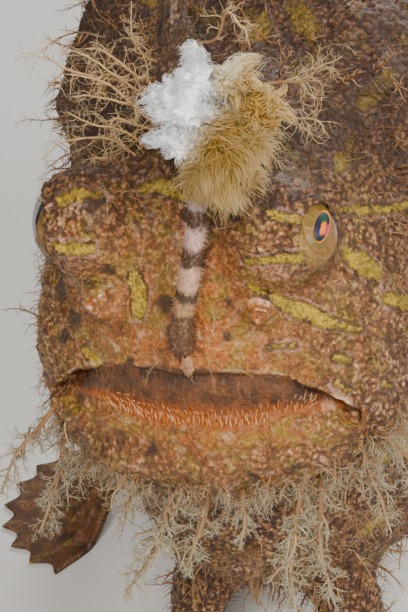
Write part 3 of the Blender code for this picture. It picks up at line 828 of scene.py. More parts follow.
@dataclass
class Markings:
    """The yellow-olive stripes: those of the photograph, and seeded ones over the rest of the body."""

    face: tuple[Stroke, ...] = (
        Stroke(((244, 262), (262, 262), (283, 260), (301, 259)), (5, 10, 12, 12)),
        Stroke(((261, 207), (280, 216), (299, 221)), (6, 11, 10)),
        Stroke(((250, 287), (272, 297), (295, 308), (321, 319), (364, 331)), (7, 13, 16, 14, 4)),
        Stroke(((341, 211), (360, 209), (386, 209), (407, 205)), (6, 9, 10, 9)),
        Stroke(((347, 252), (363, 264), (378, 275)), (14, 26, 16)),
        Stroke(((386, 298), (407, 304)), (12, 18)),
        Stroke(((282, 139), (288, 150), (294, 161)), (9, 16, 9)),
        Stroke(((352, 141), (345, 156), (336, 169)), (10, 19, 13)),
        Stroke(((362, 101), (375, 91), (390, 77)), (20, 24, 18)),
        Stroke(((294, 6), (304, 20), (314, 35)), (22, 24, 18)),
        Stroke(((200, 14), (222, 26)), (22, 16)),
        Stroke(((56, 249), (72, 249), (90, 247)), (13, 13, 10)),
        Stroke(((60, 200), (80, 195), (100, 197)), (12, 16, 9)),
        Stroke(((146, 186), (164, 187), (184, 196)), (13, 18, 11)),
        Stroke(((136, 278), (138, 294), (137, 312)), (16, 20, 14)),
        Stroke(((76, 281), (94, 279)), (9, 7)),
        Stroke(((88, 352), (99, 361)), (15, 12)),
        Stroke(((214, 204), (217, 221)), (9, 8)),
        Stroke(((336, 357), (350, 362)), (10, 8)),
        Stroke(((268, 349), (296, 346)), (7, 6)),
        Stroke(((338, 384), (350, 392)), (10, 6)),
        Stroke(((384, 382), (396, 390)), (8, 6)),
    )
    count: int = 110
    tries: int = 420
    spacing: float = 8.5
    seed: int = 5
    length: tuple[float, float] = (4.0, 13.0)
    half_width: tuple[float, float] = (0.9, 1.9)
    strokes: list[tuple[Points, Points]] = field(default_factory=list)

    def __post_init__(self) -> None:
        """Lays every stripe on the flesh."""
        self.strokes = [stroke.lay() for stroke in self.face]
        rng = np.random.default_rng(self.seed)
        starts = FLESH.beyond(np.array(FLESH.heart) + sphere_ways(self.tries, 0.7) * 30)
        starts = starts[self.inside(starts) < -2.5]
        kept: list[Points] = []
        for place in starts[rng.permutation(len(starts))]:
            crowded = any(np.linalg.norm(place - other) < self.spacing for other in kept)
            if place[1] < FLESH.front or crowded or len(kept) >= self.count:
                continue
            kept.append(place)
            self.strokes.append(self.wander(place, rng))

    def wander(self, place: Points, rng: np.random.Generator) -> tuple[Points, Points]:
        """One wavy stripe along the flank from a place.

        Args:
            place: Where it starts, on the flesh.
            rng: The source of chance.

        Returns:
            Its places and its half width at each.
        """
        steps, length = 6, rng.uniform(*self.length)
        turn = rng.uniform(-0.5, 0.5)
        path = [place]
        for _ in range(steps - 1):
            out = slope(FLESH.plain, path[-1][None])[0]
            level = unit(np.array((0, 1.0, 0)) - out * out[1] + 1e-6)
            way = level * math.cos(turn) + np.cross(out, level) * math.sin(turn)
            path.append(FLESH.beyond((path[-1] + way * length / steps)[None])[0])
            turn += rng.uniform(-0.35, 0.35)
        half = rng.uniform(*self.half_width) * (0.45 + 0.55 * np.sin(np.linspace(0.2, math.pi - 0.2, steps)))
        return np.array(path), half

    def inside(self, points: Points) -> Points:
        """How far points are inside the nearest stripe's edge, negative outside, in millimetres.

        Args:
            points: Places, n x 3.

        Returns:
            One value for each point.
        """
        best = np.full(len(points), -4.0)
        for path, half in self.strokes:
            middle = path.mean(0)
            reach = np.linalg.norm(path - middle, axis=1).max() + half.max() + 2.5
            near = np.nonzero(np.linalg.norm(points - middle, axis=1) < reach)[0]
            if len(near) == 0:
                continue
            gap, share = along_path(points[near], path)
            width = np.interp(share, np.linspace(0, 1, len(half)), half)
            best[near] = np.maximum(best[near], width - gap)
        return best


def sphere_ways(count: int, twist: float = 0.0) -> Points:
    """Directions spread evenly over a ball.

    Args:
        count: How many.
        twist: How far they are turned about the upright axis, in radians.

    Returns:
        Unit directions, count x 3.
    """
    turns = np.arange(count) + 0.5
    height = 1 - 2 * turns / count
    around = turns * math.pi * (3 - math.sqrt(5)) + twist
    ring = np.sqrt(1 - height**2)
    return np.stack([ring * np.cos(around), ring * np.sin(around), height], axis=1)


MARKINGS = Markings()
WARM_MIDDLE = (1.0, -59.0, 67.0)
WARM_REACH = (15.0, 16.0, 13.0)


def warmth_at(points: Points) -> Points:
    """How orange the skin is: most in the middle of the face, least on the flanks."""
    return np.exp(-np.sum(((points - WARM_MIDDLE) / WARM_REACH) ** 2, axis=1))


def grain_at(points: Points) -> Points:
    """How pebbled the skin is: smooth in the middle of the face, rough on cheeks and flanks."""
    return 1 - 0.75 * warmth_at(points)


@dataclass(frozen=True)
class DarkerCrownAndShade:
    """The skin's darkening over the crown and behind the face, cloudy, and fainter on the back: partly darker
    skin, partly painted shade on the head's top and nape.
    """

    crown: tuple[float, float] = (59.0, 73.0)
    crown_tilt: float = 0.35
    crown_depth: float = 1.1
    nape: tuple[float, float] = (-46.0, -25.0)
    nape_depth: float = 0.55
    back: tuple[float, float] = (-12.0, 22.0)
    back_fade: float = 0.6

    def cover(self, points: Points) -> Points:
        """How much points are darkened, by darker skin and by painted shade.

        Args:
            points: Places, n x 3.

        Returns:
            The share of each, from 0 to 1.
        """
        _, y, z = points.T
        dusk = self.crown_depth * step_up(z + self.crown_tilt * y, *self.crown)
        dusk = dusk + self.nape_depth * step_up(y, *self.nape)
        cloudy = 0.75 + 0.25 * step_up(fractal(points, 4.0, 3), -0.5, 0.3)
        return np.minimum(dusk, 1 - self.back_fade * step_up(y, *self.back)) * cloudy


def skin_values(places: Points) -> dict[str, Points]:
    """What the skin's finish reads at places on the flesh.

    Args:
        places: Places, n x 3.

    Returns:
        The place itself, its depth in the stripes, how warm and pebbled it is, and its blotches with the
        painted shade of crown and nape.
    """
    tint = np.zeros((len(places), len(Tone)))
    for lot in BLOTCHES:
        tint[:, lot.tone.value] = lot.cover(places)
    dark_and_shade = Tone.DARK.value
    # The dark tint also takes the darker crown and nape, which are partly painted shade.
    tint[:, dark_and_shade] = np.maximum(tint[:, dark_and_shade], DarkerCrownAndShade().cover(places))
    return {"place": places, "mark": MARKINGS.inside(places), "warmth": warmth_at(places),
            "grain": grain_at(places), "tint": tint}


def unwrap(points: Points) -> Points:
    """Where places on the flesh lie on its unwrap: six faces of a cube round its heart, side by side.

    Args:
        points: Places, n x 3.

    Returns:
        Coordinates between 0 and 1, n x 2.
    """
    ways = unit(points - np.array(FLESH.heart))
    axis = np.argmax(np.abs(ways), axis=1)
    ahead = np.take_along_axis(ways, axis[:, None], 1)[:, 0]
    others = np.array([[1, 2], [0, 2], [0, 1]])[axis]
    flat = np.take_along_axis(ways, others, 1) / np.abs(ahead)[:, None]
    spread = np.arctan(flat) * 4 / math.pi
    cell = axis + 3 * (ahead > 0)
    corner = np.stack([cell % 3, cell // 3], axis=1)
    return (corner + 0.5 + spread * 0.46) * (1 / 3, 1 / 2)


# Limbs and free spines, parts of the one skin


@dataclass(frozen=True)
class Branch:
    """A round arm, leg or spine that grows out of the body."""

    knots: tuple[Place, ...]
    radii: tuple[float, ...]
    flat: float
    narrow: Place | None
    blend: float
    side: int = 1
    turn: float = 0.0
    sides: int = 40
    rows: int = 60

    def line(self, count: int) -> Points:
        """Its middle line, as count places."""
        return curve_through(np.array(self.knots), count) * (self.side, 1, 1)

    def narrow_way(self) -> Points:
        """The direction of its narrow side.

        Returns:
            A unit direction.
        """
        if self.narrow is not None:
            return unit(np.array(self.narrow))
        across = np.array((-math.sin(self.turn), math.cos(self.turn), 0)) * (self.side, 1, 1)
        line = self.line(7)
        return unit(np.cross(across, line[-1] - line[-2]))

    def sizes(self, shares: Points) -> Points:
        """Its radius at shares of its length."""
        return np.interp(shares, np.linspace(0, 1, len(self.radii)), self.radii)

    def distance(self, points: Points) -> Points:
        """Roughly how far points are outside it.

        Args:
            points: Places, n x 3.

        Returns:
            One distance for each point.
        """
        count = 14
        line = self.line(count)
        _, share = along_path(points, line)
        knots = np.linspace(0, 1, count)
        place = np.stack([np.interp(share, knots, line[:, k]) for k in range(3)], axis=1)
        offset = points - place
        flatness = offset @ self.narrow_way()
        rest = offset - flatness[:, None] * self.narrow_way()
        spread = np.sqrt((flatness / self.flat) ** 2 + np.sum(rest**2, axis=1))
        steep = np.sqrt((flatness / self.flat**2) ** 2 + np.sum(rest**2, axis=1))
        return (spread - self.sizes(share)) * spread / np.maximum(steep, 1e-6)

    def shell(self) -> Shell:
        """The branch as a closed tube with a rounded end.

        Returns:
            The tube.
        """
        share = np.linspace(0, 1, self.rows)
        line = self.line(self.rows)
        left = np.linalg.norm(line - line[-1], axis=1)
        end = self.radii[-1] * 0.75
        dome = np.sqrt(np.clip(1 - (1 - np.minimum(left / end, 1)) ** 2, 0.01, 1))
        return tube(line, self.sizes(share) * dome, self.sides, self.flat, self.narrow_way())


ARM = dict(knots=((13, 0, 42), (26, 4, 33), (34, 10, 22), (36, 11, 11)), radii=(10.5, 9.0, 7.0, 5.6),
           flat=0.62, narrow=None, blend=6.0, turn=math.radians(-12))
LEG = dict(knots=((6, -28, 29), (9.5, -32, 19), (11.5, -35, 9)), radii=(5.2, 4.6, 3.6), flat=0.7,
           narrow=None, blend=4.0, turn=math.radians(-52))
BRANCHES: dict[str, Branch] = {
    "pectoral_arm_left": Branch(**ARM),
    "pectoral_arm_right": Branch(side=-1, **ARM),
    "pelvic_arm_left": Branch(**LEG),
    "pelvic_arm_right": Branch(side=-1, **LEG),
    "second_spine": Branch(((0, -47.5, 80), (0, -50.5, 90), (-0.6, -50.5, 99), (-1.2, -47.5, 108)),
                           (3.6, 3.1, 2.4, 1.3), 0.75, (1, 0, 0), 4.0),
    "third_spine": Branch(((0, -24, 84), (0, -19, 95), (0.5, -12, 104), (0.8, -4, 109)),
                          (8.0, 6.0, 3.9, 1.8), 0.6, (1, 0, 0), 6.0),
}


def body_field(points: Points) -> Points:
    """Distance to the whole skin: flesh, limbs and free spines, run together at their roots.

    Args:
        points: Places, n x 3.

    Returns:
        One distance for each point.
    """
    distance = FLESH.whole(points)
    for branch in BRANCHES.values():
        line = branch.line(5)
        near = np.linalg.norm(points - line.mean(0), axis=1) < np.ptp(line, axis=0).max() + 16
        if near.any():
            distance[near] = smooth_min(distance[near], branch.distance(points[near]), branch.blend)
    return distance


@dataclass(frozen=True)
class EyeSkin:
    """The skin round an eye: a belt of wrinkles and rings, and a thin lid within it, in millimetres."""

    belt: float = 4.7
    belt_reach: float = 1.1
    wrinkle: float = 0.11
    wrinkles: int = 46
    ring: float = 0.12
    ring_width: float = 0.85
    lid: float = 0.1
    lid_place: float = 3.8
    lid_reach: float = 0.3

    def height(self, points: Points) -> Points:
        """How far the skin is raised round both eyes.

        Args:
            points: Places, n x 3.

        Returns:
            One height for each point.
        """
        height = np.zeros(len(points))
        for side in (-1, 1):
            axis = eye_axis(side)
            offset = points - eye_centre(side)
            along = offset @ axis
            flat = offset - along[:, None] * axis
            away = np.linalg.norm(flat, axis=1)
            turn = np.arctan2(flat @ upright(axis), flat @ np.cross(upright(axis), axis))
            belt = np.exp(-(((away - self.belt) / self.belt_reach) ** 2)) * (along > 0)
            height += belt * (self.wrinkle * np.cos(turn * self.wrinkles)
                              + self.ring * np.cos(away * 2 * math.pi / self.ring_width))
            lid = self.lid * np.exp(-(((away - self.lid_place) / self.lid_reach) ** 2))
            height += lid * (along > 0.5)
        return height


@dataclass
class Skin:
    """One skin over the head, body, arms and free spines."""

    cells: int = 180
    gaze: Place = (0.0, -0.35, -0.03)
    lump: float = 0.62
    lump_size: float = 5.0
    pebble: float = 0.27
    pebble_size: float = 0.85
    fine: float = 0.16
    fine_size: float = 1.2
    bulge: float = 0.9
    bulge_size: float = 11.0
    pore_rim: float = 0.6
    pore_ring: float = 2.3
    pore_soft: float = 0.9
    pore_depth: float = 1.3
    pore_radius: float = 1.3
    pore: Points = field(default_factory=lambda: FLESH.beyond(np.array((24.0, 18.0, 38.0)))[0])
    nodes: tuple[str, ...] = ("head", "lower_jaw", "torso", "tail_root", *BRANCHES)
    folds: tuple[Stroke, ...] = (
        Stroke(((62, 380), (72, 400), (92, 418)), (7, 10, 8), -0.5),
        Stroke(((70, 372), (86, 392), (104, 404)), (6, 8, 5), 0.35),
        Stroke(((366, 408), (376, 426), (380, 450)), (6, 9, 7), -0.4),
        Stroke(((120, 448), (170, 453), (214, 450), (268, 452), (318, 440)), (6, 6, 6, 6, 5), -0.12),
        Stroke(((69, 241), (82, 240), (95, 236), (102, 227)), (4, 5, 5, 4), 0.3),
        Stroke(((72, 246), (86, 245), (99, 240)), (5, 6, 5), -0.2),
        Stroke(((206, 230), (214, 290), (206, 350)), (14, 18, 14), 0.35),
        Stroke(((174, 230), (168, 290), (166, 350)), (10, 14, 10), 0.25),
    )

    def lattice(self) -> tuple[Points, Points]:
        """A cube of square cells blown up to a ball, denser towards the face.

        Returns:
            Unit directions and the triangles between them.
        """
        n = self.cells
        u, v = np.meshgrid(np.arange(n + 1), np.arange(n + 1), indexing="ij")
        index = np.arange((n + 1) ** 2).reshape(n + 1, n + 1)
        square = np.stack([index[:-1, :-1], index[1:, :-1], index[1:, 1:], index[:-1, 1:]], -1).reshape(-1, 4)
        lattice, squares = [], []
        for face in range(6):
            axis, end = face % 3, n * (face // 3)
            place = np.zeros((n + 1, n + 1, 3), int)
            place[..., axis], place[..., (axis + 1) % 3], place[..., (axis + 2) % 3] = end, u, v
            lattice.append(place.reshape(-1, 3))
            squares.append((square if end else square[:, ::-1]) + face * (n + 1) ** 2)
        places = np.vstack(lattice)
        _, first, back = np.unique(places @ (1, n + 1, (n + 1) ** 2), return_index=True, return_inverse=True)
        spread = np.tan((places[first] / n * 2 - 1) * math.pi / 4)
        quads = back.ravel()[np.vstack(squares)]
        return unit(unit(spread) + self.gaze), np.vstack([quads[:, :3], quads[:, [0, 2, 3]]])

    def flesh_shell(self) -> Shell:
        """The flesh with all the features of its face, without limbs.

        Returns:
            The closed shell.
        """
        ways, triangles = self.lattice()
        heart = np.array(FLESH.heart)
        origins = np.tile(heart, (len(ways), 1))
        points = march(FLESH.plain, origins, ways, np.full(len(ways), FLESH.outside))
        front = points[:, 1] < -38
        reach = np.linalg.norm(points - heart, axis=1)
        points[front] = march(FLESH.whole, origins[front], ways[front], reach[front] + 2.5, 120)
        return Shell(points, triangles)

    def united(self) -> Shell:
        """The flesh and every branch as one closed shell.

        Returns:
            The shell, its junctions rounded over.
        """
        group = bpy.data.collections.new("branches")
        bpy.context.scene.collection.children.link(group)
        for name, branch in BRANCHES.items():
            group.objects.link(bpy.data.objects.new(name + "_form", branch.shell().mesh(name + "_form")))
        made = bpy.data.objects.new("skin_form", self.flesh_shell().mesh("skin_form"))
        bpy.context.scene.collection.objects.link(made)
        union = made.modifiers.new("union", "BOOLEAN")
        union.operation, union.solver = "UNION", "MANIFOLD"
        union.operand_type, union.collection = "COLLECTION", group
        mesh = bpy.data.meshes.new_from_object(made.evaluated_get(bpy.context.evaluated_depsgraph_get()))
        mesh.calc_loop_triangles()
        points = np.empty(len(mesh.vertices) * 3)
        mesh.vertices.foreach_get("co", points)
        triangles = np.empty(len(mesh.loop_triangles) * 3, np.int32)
        mesh.loop_triangles.foreach_get("vertices", triangles)
        for form in [made, *group.objects]:
            bpy.data.objects.remove(form)
        bpy.data.collections.remove(group)
        bpy.data.meshes.remove(mesh)
        return Shell(points.reshape(-1, 3) / MM - SHIFT, triangles.reshape(-1, 3))

    def round_junctions(self, points: Points) -> Points:
        """Moves the points near each branch's root onto the rounded form.

        Args:
            points: The shell's points, n x 3.

        Returns:
            The moved points.
        """
        flesh = FLESH.whole(points)
        near = np.zeros(len(points), bool)
        for branch in BRANCHES.values():
            near |= (flesh < branch.blend + 1) & (branch.distance(points) < branch.blend + 1)
        spot = points[near]
        for _ in range(6):
            spot = spot - slope(body_field, spot) * body_field(spot)[:, None] * 0.9
        points[near] = spot
        return points

    def relief(self, points: Points, wet: Points) -> Points:
        """The height of folds, lumps and pebbles over the plain form, in millimetres.

        Args:
            points: Places, n x 3.
            wet: How far each point is inside the mouth.

        Returns:
            One height for each point.
        """
        grain = grain_at(points)
        height = self.lump * fractal(points, self.lump_size, 3) * (0.6 + 0.4 * grain)
        height += self.bulge * fractal(points, self.bulge_size, 2) * step_up(points[:, 1], -38, -20)
        gap = np.linalg.norm(folded(points) - self.pore, axis=1)
        rim = self.pore_rim * np.exp(-(((gap - self.pore_ring) / self.pore_soft) ** 2))
        height += rim - self.pore_depth * np.exp(-((gap / self.pore_radius) ** 2))
        height += self.pebble * (cells(points, self.pebble_size) - 0.4) * (0.25 + 0.75 * grain)
        height += self.fine * fractal(points, self.fine_size, 3)
        for fold in self.folds:
            path, half = fold.lay()
            gap, _ = along_path(points, path)
            height += fold.height * np.exp(-((gap / half.mean()) ** 2))
        return height * (1 - 0.6 * wet) + EyeSkin().height(points)

    def build(self, finish: bpy.types.Material) -> "Roots":
        """Makes the skin, which stands for every node of flesh.

        Args:
            finish: Its material.

        Returns:
            The skin as ground that strands can grow from.
        """
        shell = self.united()
        base = self.round_junctions(shell.points)
        plain = Shell(base, shell.triangles).mesh("plain")
        normals = np.empty(len(base) * 3, np.float32)
        plain.vertex_normals.foreach_get("vector", normals)
        bpy.data.meshes.remove(plain)
        wet, gape = Lining().cover(base)
        shell.points = base + normals.reshape(-1, 3) * self.relief(base, wet)[:, None]
        shell.values = skin_values(base) | {"wet": wet, "lip": self.lip_share(base), "gape": gape}
        shell.piece("skin", finish, "skin", *self.nodes)
        return Roots(shell, normals.reshape(-1, 3))

    def lip_share(self, points: Points) -> Points:
        """How near points are to the lips: up to 1 on the lower one and -1 on the upper one.

        Args:
            points: Places, n x 3.

        Returns:
            One value for each point.
        """
        lower, upper = (np.exp(-(np.maximum(FLESH.mouth.lip(points, name), 0) / reach) ** 2)
                        for name, reach in (("lower", 1.1), ("upper", 0.25)))
        return lower - upper


@dataclass
class Roots:
    """A surface that strands grow from."""

    shell: Shell
    normals: Points

    def scatter(self, count: int, density: Callable[[dict[str, Points]], Points],
                rng: np.random.Generator) -> "Ground":
        """Picks places over the surface, evenly but for a density.

        Args:
            count: How many places.
            density: Gives the wanted share of places, 0 or more, from the surface's values.
            rng: The source of chance.

        Returns:
            The places.
        """
        corners = self.shell.triangles
        a, b, c = (self.shell.points[corners[:, k]] for k in range(3))
        values = {key: value[corners[:, 0]] for key, value in self.shell.values.items()}
        values["out"] = self.normals[corners[:, 0]]
        area = np.linalg.norm(np.cross(b - a, c - a), axis=1) * np.maximum(density(values), 0)
        total = np.cumsum(area)
        picks = np.searchsorted(total, (np.arange(count) + rng.random(count)) / count * total[-1])
        picks = np.minimum(picks, len(corners) - 1)
        u, v = np.sort(rng.random((2, count)), axis=0)[:, :, None]
        places = a[picks] * u + b[picks] * (v - u) + c[picks] * (1 - v)
        return Ground(places, self.normals[corners[picks, 0]], {k: x[picks] for k, x in values.items()})


def evenly(values: dict[str, Points]) -> Points:
    """The same wanted share of strands everywhere on a surface."""
    return np.ones(len(values["out"]))


@dataclass
class Ground:
    """Places that strands grow from: where, which way is out, and the values of the skin there."""

    places: Points
    out: Points
    values: dict[str, Points]
    uvs: Points | None = None

    def keep(self, *names: str) -> None:
        """Leaves out all values but those that are named."""
        self.values = {name: self.values[name] for name in names}


PATCH = 0.003
FLOOR_GAP = 0.35


@dataclass
class Strands:
    """Many tapered filaments at once, each with the values of the place that it grows from."""

    lines: Points
    radii: Points
    pale: Points
    values: dict[str, Points]
    uvs: Points

    @classmethod
    def grow(cls, ground: Ground, ways: Points, lengths: Points, radius: Points | float,
             rng: np.random.Generator, rows: int = 5, droop: float = 0.2, wave: float = 0.12,
             turns: float = 1.0, sink: float = 0.25, pale: tuple[float, float] = (0.1, 0.7)) -> "Strands":
        """Grows one strand from each place.

        Args:
            ground: The places.
            ways: The unit direction in which each starts.
            lengths: The length of each.
            radius: The radius of each at its root.
            rng: The source of chance.
            rows: Places along a strand.
            droop: How far its tip hangs, as a share of its length.
            wave: How far it sways to the side, as a share of its length.
            turns: Half waves along its length.
            sink: How deep its root is set, in millimetres.
            pale: How pale it is at its root and its tip.

        Returns:
            The strands.
        """
        count = len(ground.places)
        t = np.linspace(0, 1, rows)[None, :, None]
        length = np.broadcast_to(lengths, count)[:, None, None]
        first = unit(np.cross(ways, rng.normal(size=(count, 3))))[:, None]
        second = np.cross(ways, first[:, 0])[:, None]
        start = ground.places[:, None] - ways[:, None] * sink
        lines = start + ways[:, None] * t * (length + sink)
        lines = lines - np.array((0, 0, 1.0)) * droop * length * t**1.8
        phase = rng.uniform(0, 2 * math.pi, (2, count, 1, 1))
        sway = [np.sin(phase[k] + turns * math.pi * t) - np.sin(phase[k]) for k in (0, 1)]
        lines = lines + (first * sway[0] + second * sway[1]) * wave * length * t**0.7
        lines[..., 2] = np.maximum(lines[..., 2], floor_height() + FLOOR_GAP)
        taper = (1 - t[:, :, 0]) ** 0.6 * 0.85 + 0.15
        radii = np.broadcast_to(radius, count)[:, None] * taper
        shade = np.broadcast_to(pale[0] + (pale[1] - pale[0]) * t[:, :, 0], (count, rows))
        uvs = unwrap(ground.places) if ground.uvs is None else ground.uvs
        return cls(lines, radii, shade.copy(), ground.values, uvs)

    def branch(self, each: int, reach: float, radius: float, rng: np.random.Generator, rows: int = 4,
               span: tuple[float, float] = (0.2, 0.97), open_: float = 0.9,
               pale: tuple[float, float] = (0.6, 0.95), droop: float = 0.1,
               wave: float = 0.15) -> "Strands":
        """Grows side twigs from every strand.

        Args:
            each: Twigs on one strand.
            reach: Their length as a share of the strand's.
            radius: Their radius as a share of the strand's there.
            rng: The source of chance.
            rows: Places along a twig.
            span: The shares of the strand between which they grow.
            open_: How square to the strand they stand.
            pale: How pale they are at root and tip.
            droop: How far a tip hangs, as a share of its length.
            wave: How far a twig sways.

        Returns:
            The twigs.
        """
        count, stem_rows, _ = self.lines.shape
        slots = (np.arange(each) + rng.random((count, each))) / each
        share = span[0] + (span[1] - span[0]) * slots
        at = share * (stem_rows - 1)
        low = np.minimum(at.astype(int), stem_rows - 2)
        part = (at - low)[..., None]
        strand = np.arange(count)[:, None]
        before, after = self.lines[strand, low], self.lines[strand, low + 1]
        roots = (before * (1 - part) + after * part).reshape(-1, 3)
        ahead = unit((after - before).reshape(-1, 3))
        side = unit(np.cross(ahead, rng.normal(size=ahead.shape)))
        ways = unit(side * open_ + ahead * rng.uniform(0.3, 0.9, (len(ahead), 1)))
        stem_length = np.linalg.norm(np.diff(self.lines, axis=1), axis=2).sum(1)
        taper = np.sin(math.pi * (0.18 + 0.72 * share))
        lengths = (stem_length[:, None] * reach * taper * rng.uniform(0.6, 1.25, share.shape)).ravel()
        thick = (self.radii[strand, low] * radius).ravel()
        values = {key: np.repeat(value, each, axis=0) for key, value in self.values.items()}
        ground = Ground(roots, ways, values, np.repeat(self.uvs, each, axis=0))
        return Strands.grow(ground, ways, lengths, thick, rng, rows, droop, wave, 1.3, 0.02, pale)

    def clump(self, locks: int, pull: float, rng: np.random.Generator) -> "Strands":
        """Draws neighbouring strands together towards their tips.

        Args:
            locks: How many locks they gather in.
            pull: How near the tips of a lock come, from 0 to 1.
            rng: The source of chance.

        Returns:
            The same strands.
        """
        heads = self.lines[rng.choice(len(self.lines), locks, replace=False)]
        gaps = [np.linalg.norm(heads[:, 0] - root, axis=1) for root in self.lines[:, 0]]
        share = pull * np.linspace(0, 1, self.lines.shape[1])[None, :, None] ** 1.2
        self.lines = self.lines * (1 - share) + heads[np.argmin(gaps, axis=1)] * share
        return self

    def shell(self, sides: int = 3) -> Shell:
        """The strands as closed tubes.

        Args:
            sides: Points round a strand.

        Returns:
            One shell of them all.
        """
        count, rows, _ = self.lines.shape
        ahead = unit(np.gradient(self.lines, axis=1))
        spare = unit(np.cross(ahead[:, :1], np.array((0.31, 0.22, 0.92))))
        first = unit(spare - ahead * np.sum(spare * ahead, axis=2, keepdims=True))
        second = np.cross(ahead, first)
        turns = 2 * math.pi * np.arange(sides) / sides
        ring = first[:, :, None] * np.cos(turns)[:, None] + second[:, :, None] * np.sin(turns)[:, None]
        points = self.lines[:, :, None] + ring * self.radii[:, :, None, None]
        cap = np.array([[0, k + 1, k] for k in range(1, sides - 1)])
        tip = np.array([[0, k, k + 1] for k in range(1, sides - 1)]) + (rows - 1) * sides
        one = np.vstack([wall(rows, sides), cap, tip])
        triangles = (one[None] + np.arange(count)[:, None, None] * rows * sides).reshape(-1, 3)
        values = {key: np.repeat(value, rows * sides, axis=0) for key, value in self.values.items()}
        values["pale"] = np.repeat(self.pale.ravel(), sides)
        spread = np.stack(np.meshgrid(np.linspace(-0.5, 0.5, rows), np.linspace(-0.5, 0.5, sides),
                                      indexing="ij"), -1).reshape(-1, 2) * PATCH
        uvs = (self.uvs[:, None] + spread).reshape(-1, 2)
        return Shell(points.reshape(-1, 3), triangles, values, uvs)


def together(parts: list[Strands], sides: int = 3) -> Shell:
    """Several lots of strands as one shell.

    Args:
        parts: The strands.
        sides: Points round a strand.

    Returns:
        The joined shell.
    """
    shells = [part.shell(sides) for part in parts]
    whole = shells[0]
    for shell in shells[1:]:
        whole = whole.add(shell)
    return whole


# Finishes


class Tree:
    """A shader node tree that is filled node by node."""

    def __init__(self, tree: bpy.types.NodeTree) -> None:
        """Takes the tree to fill."""
        self.tree = tree

    def add(self, kind: str, **settings: object) -> bpy.types.Node:
        """A new node.

        Args:
            kind: Its type.
            **settings: Its properties.

        Returns:
            The node.
        """
        node = self.tree.nodes.new(kind)
        for key, value in settings.items():
            setattr(node, key, value)
        return node

    def feed(self, socket: bpy.types.NodeSocket, value: object) -> None:
        """Links a socket's source, or sets its value.

        Args:
            socket: The input.
            value: An output socket, a number or a colour.
        """
        if isinstance(value, bpy.types.NodeSocket):
            self.tree.links.new(value, socket)
        else:
            socket.default_value = value

    def fill(self, node: bpy.types.Node, **inputs: object) -> bpy.types.Node:
        """Feeds a node's inputs by name.

        Args:
            node: The node.
            **inputs: Sources or values, with an underscore for each space in a name.

        Returns:
            The same node.
        """
        for key, value in inputs.items():
            self.feed(node.inputs[key.replace("_", " ")], value)
        return node

    def value(self, name: str, vector: bool = False) -> bpy.types.NodeSocket:
        """A value that the mesh carries at each point."""
        node = self.add("ShaderNodeAttribute", attribute_name=name)
        return node.outputs["Vector" if vector else "Fac"]

    def math(self, operation: str, first: object, second: object) -> bpy.types.NodeSocket:
        """The result of one sum.

        Args:
            operation: What is done.
            first: A number or its source.
            second: The other.

        Returns:
            The result.
        """
        node = self.add("ShaderNodeMath", operation=operation)
        self.feed(node.inputs[0], first)
        self.feed(node.inputs[1], second)
        return node.outputs[0]

    def times(self, first: object, *others: object) -> object:
        """The product of numbers or their sources.

        Args:
            first: The first of them.
            *others: The rest.

        Returns:
            The product, or the first as it is where there is no other.
        """
        for other in others:
            first = self.math("MULTIPLY", first, other)
        return first

    def plus(self, first: object, second: object) -> bpy.types.NodeSocket:
        """The sum of two numbers or their sources."""
        return self.math("ADD", first, second)

    def minus(self, first: object, second: object) -> bpy.types.NodeSocket:
        """What the first has over the second, each a number or its source."""
        return self.math("SUBTRACT", first, second)

    def mix(self, share: object, first: object, second: object) -> bpy.types.NodeSocket:
        """A colour between two, by a share from 0 to 1.

        Args:
            share: How much of the second.
            first: A colour or its source.
            second: The other.

        Returns:
            The mixed colour.
        """
        node = self.fill(self.add("ShaderNodeMix", data_type="RGBA"), Factor=share)
        self.feed(node.inputs[6], first)
        self.feed(node.inputs[7], second)
        return node.outputs[2]

    def over(self, base: object, colour: object, *shares: object) -> bpy.types.NodeSocket:
        """A colour laid over another.

        Args:
            base: The lower colour or its source.
            colour: The upper one.
            *shares: How much of it shows, as the product of these.

        Returns:
            The mixed colour.
        """
        return self.mix(self.times(*shares), base, colour)

    def step(self, value: object, low: float, high: float) -> bpy.types.NodeSocket:
        """A smooth step from 0 at low to 1 at high.

        Args:
            value: What is compared.
            low: Where it is 0.
            high: Where it is 1.

        Returns:
            The step, between 0 and 1.
        """
        node = self.add("ShaderNodeMapRange", interpolation_type="SMOOTHSTEP")
        low, high, start, end = (low, high, 0.0, 1.0) if low < high else (high, low, 1.0, 0.0)
        self.fill(node, Value=value, From_Min=low, From_Max=high, To_Min=start, To_Max=end)
        return node.outputs["Result"]

    def noise(self, place: object, size: float, detail: float = 3.0,
              rough: float = 0.55) -> bpy.types.NodeSocket:
        """Soft noise between 0 and 1.

        Args:
            place: The place in millimetres.
            size: Width of its lumps in millimetres.
            detail: Finer layers.
            rough: How strong they are.

        Returns:
            The noise.
        """
        node = self.add("ShaderNodeTexNoise")
        self.fill(node, Vector=place, Scale=1 / size, Detail=detail, Roughness=rough)
        return node.outputs["Fac"]

    def warp(self, place: object, size: float, amount: float) -> bpy.types.NodeSocket:
        """A place moved about by soft noise.

        Args:
            place: The place in millimetres.
            size: Width of the noise's lumps in millimetres.
            amount: How far it is moved at most, in millimetres.

        Returns:
            The moved place.
        """
        node = self.fill(self.add("ShaderNodeTexNoise"), Vector=place, Scale=1 / size)
        move = self.add("ShaderNodeVectorMath", operation="MULTIPLY_ADD")
        for socket, value in zip(move.inputs, (node.outputs["Color"], (amount, amount, amount), place)):
            self.feed(socket, value)
        return move.outputs["Vector"]

    def cells(self, place: object, size: float) -> bpy.types.NodeSocket:
        """Distance to the nearest of many scattered points, in cells of a size in millimetres."""
        node = self.fill(self.add("ShaderNodeTexVoronoi"), Vector=place, Scale=1 / size)
        return node.outputs["Distance"]

    def split(self, vector: object) -> tuple[bpy.types.NodeSocket, ...]:
        """The three parts of a vector."""
        return tuple(self.fill(self.add("ShaderNodeSeparateXYZ"), Vector=vector).outputs)

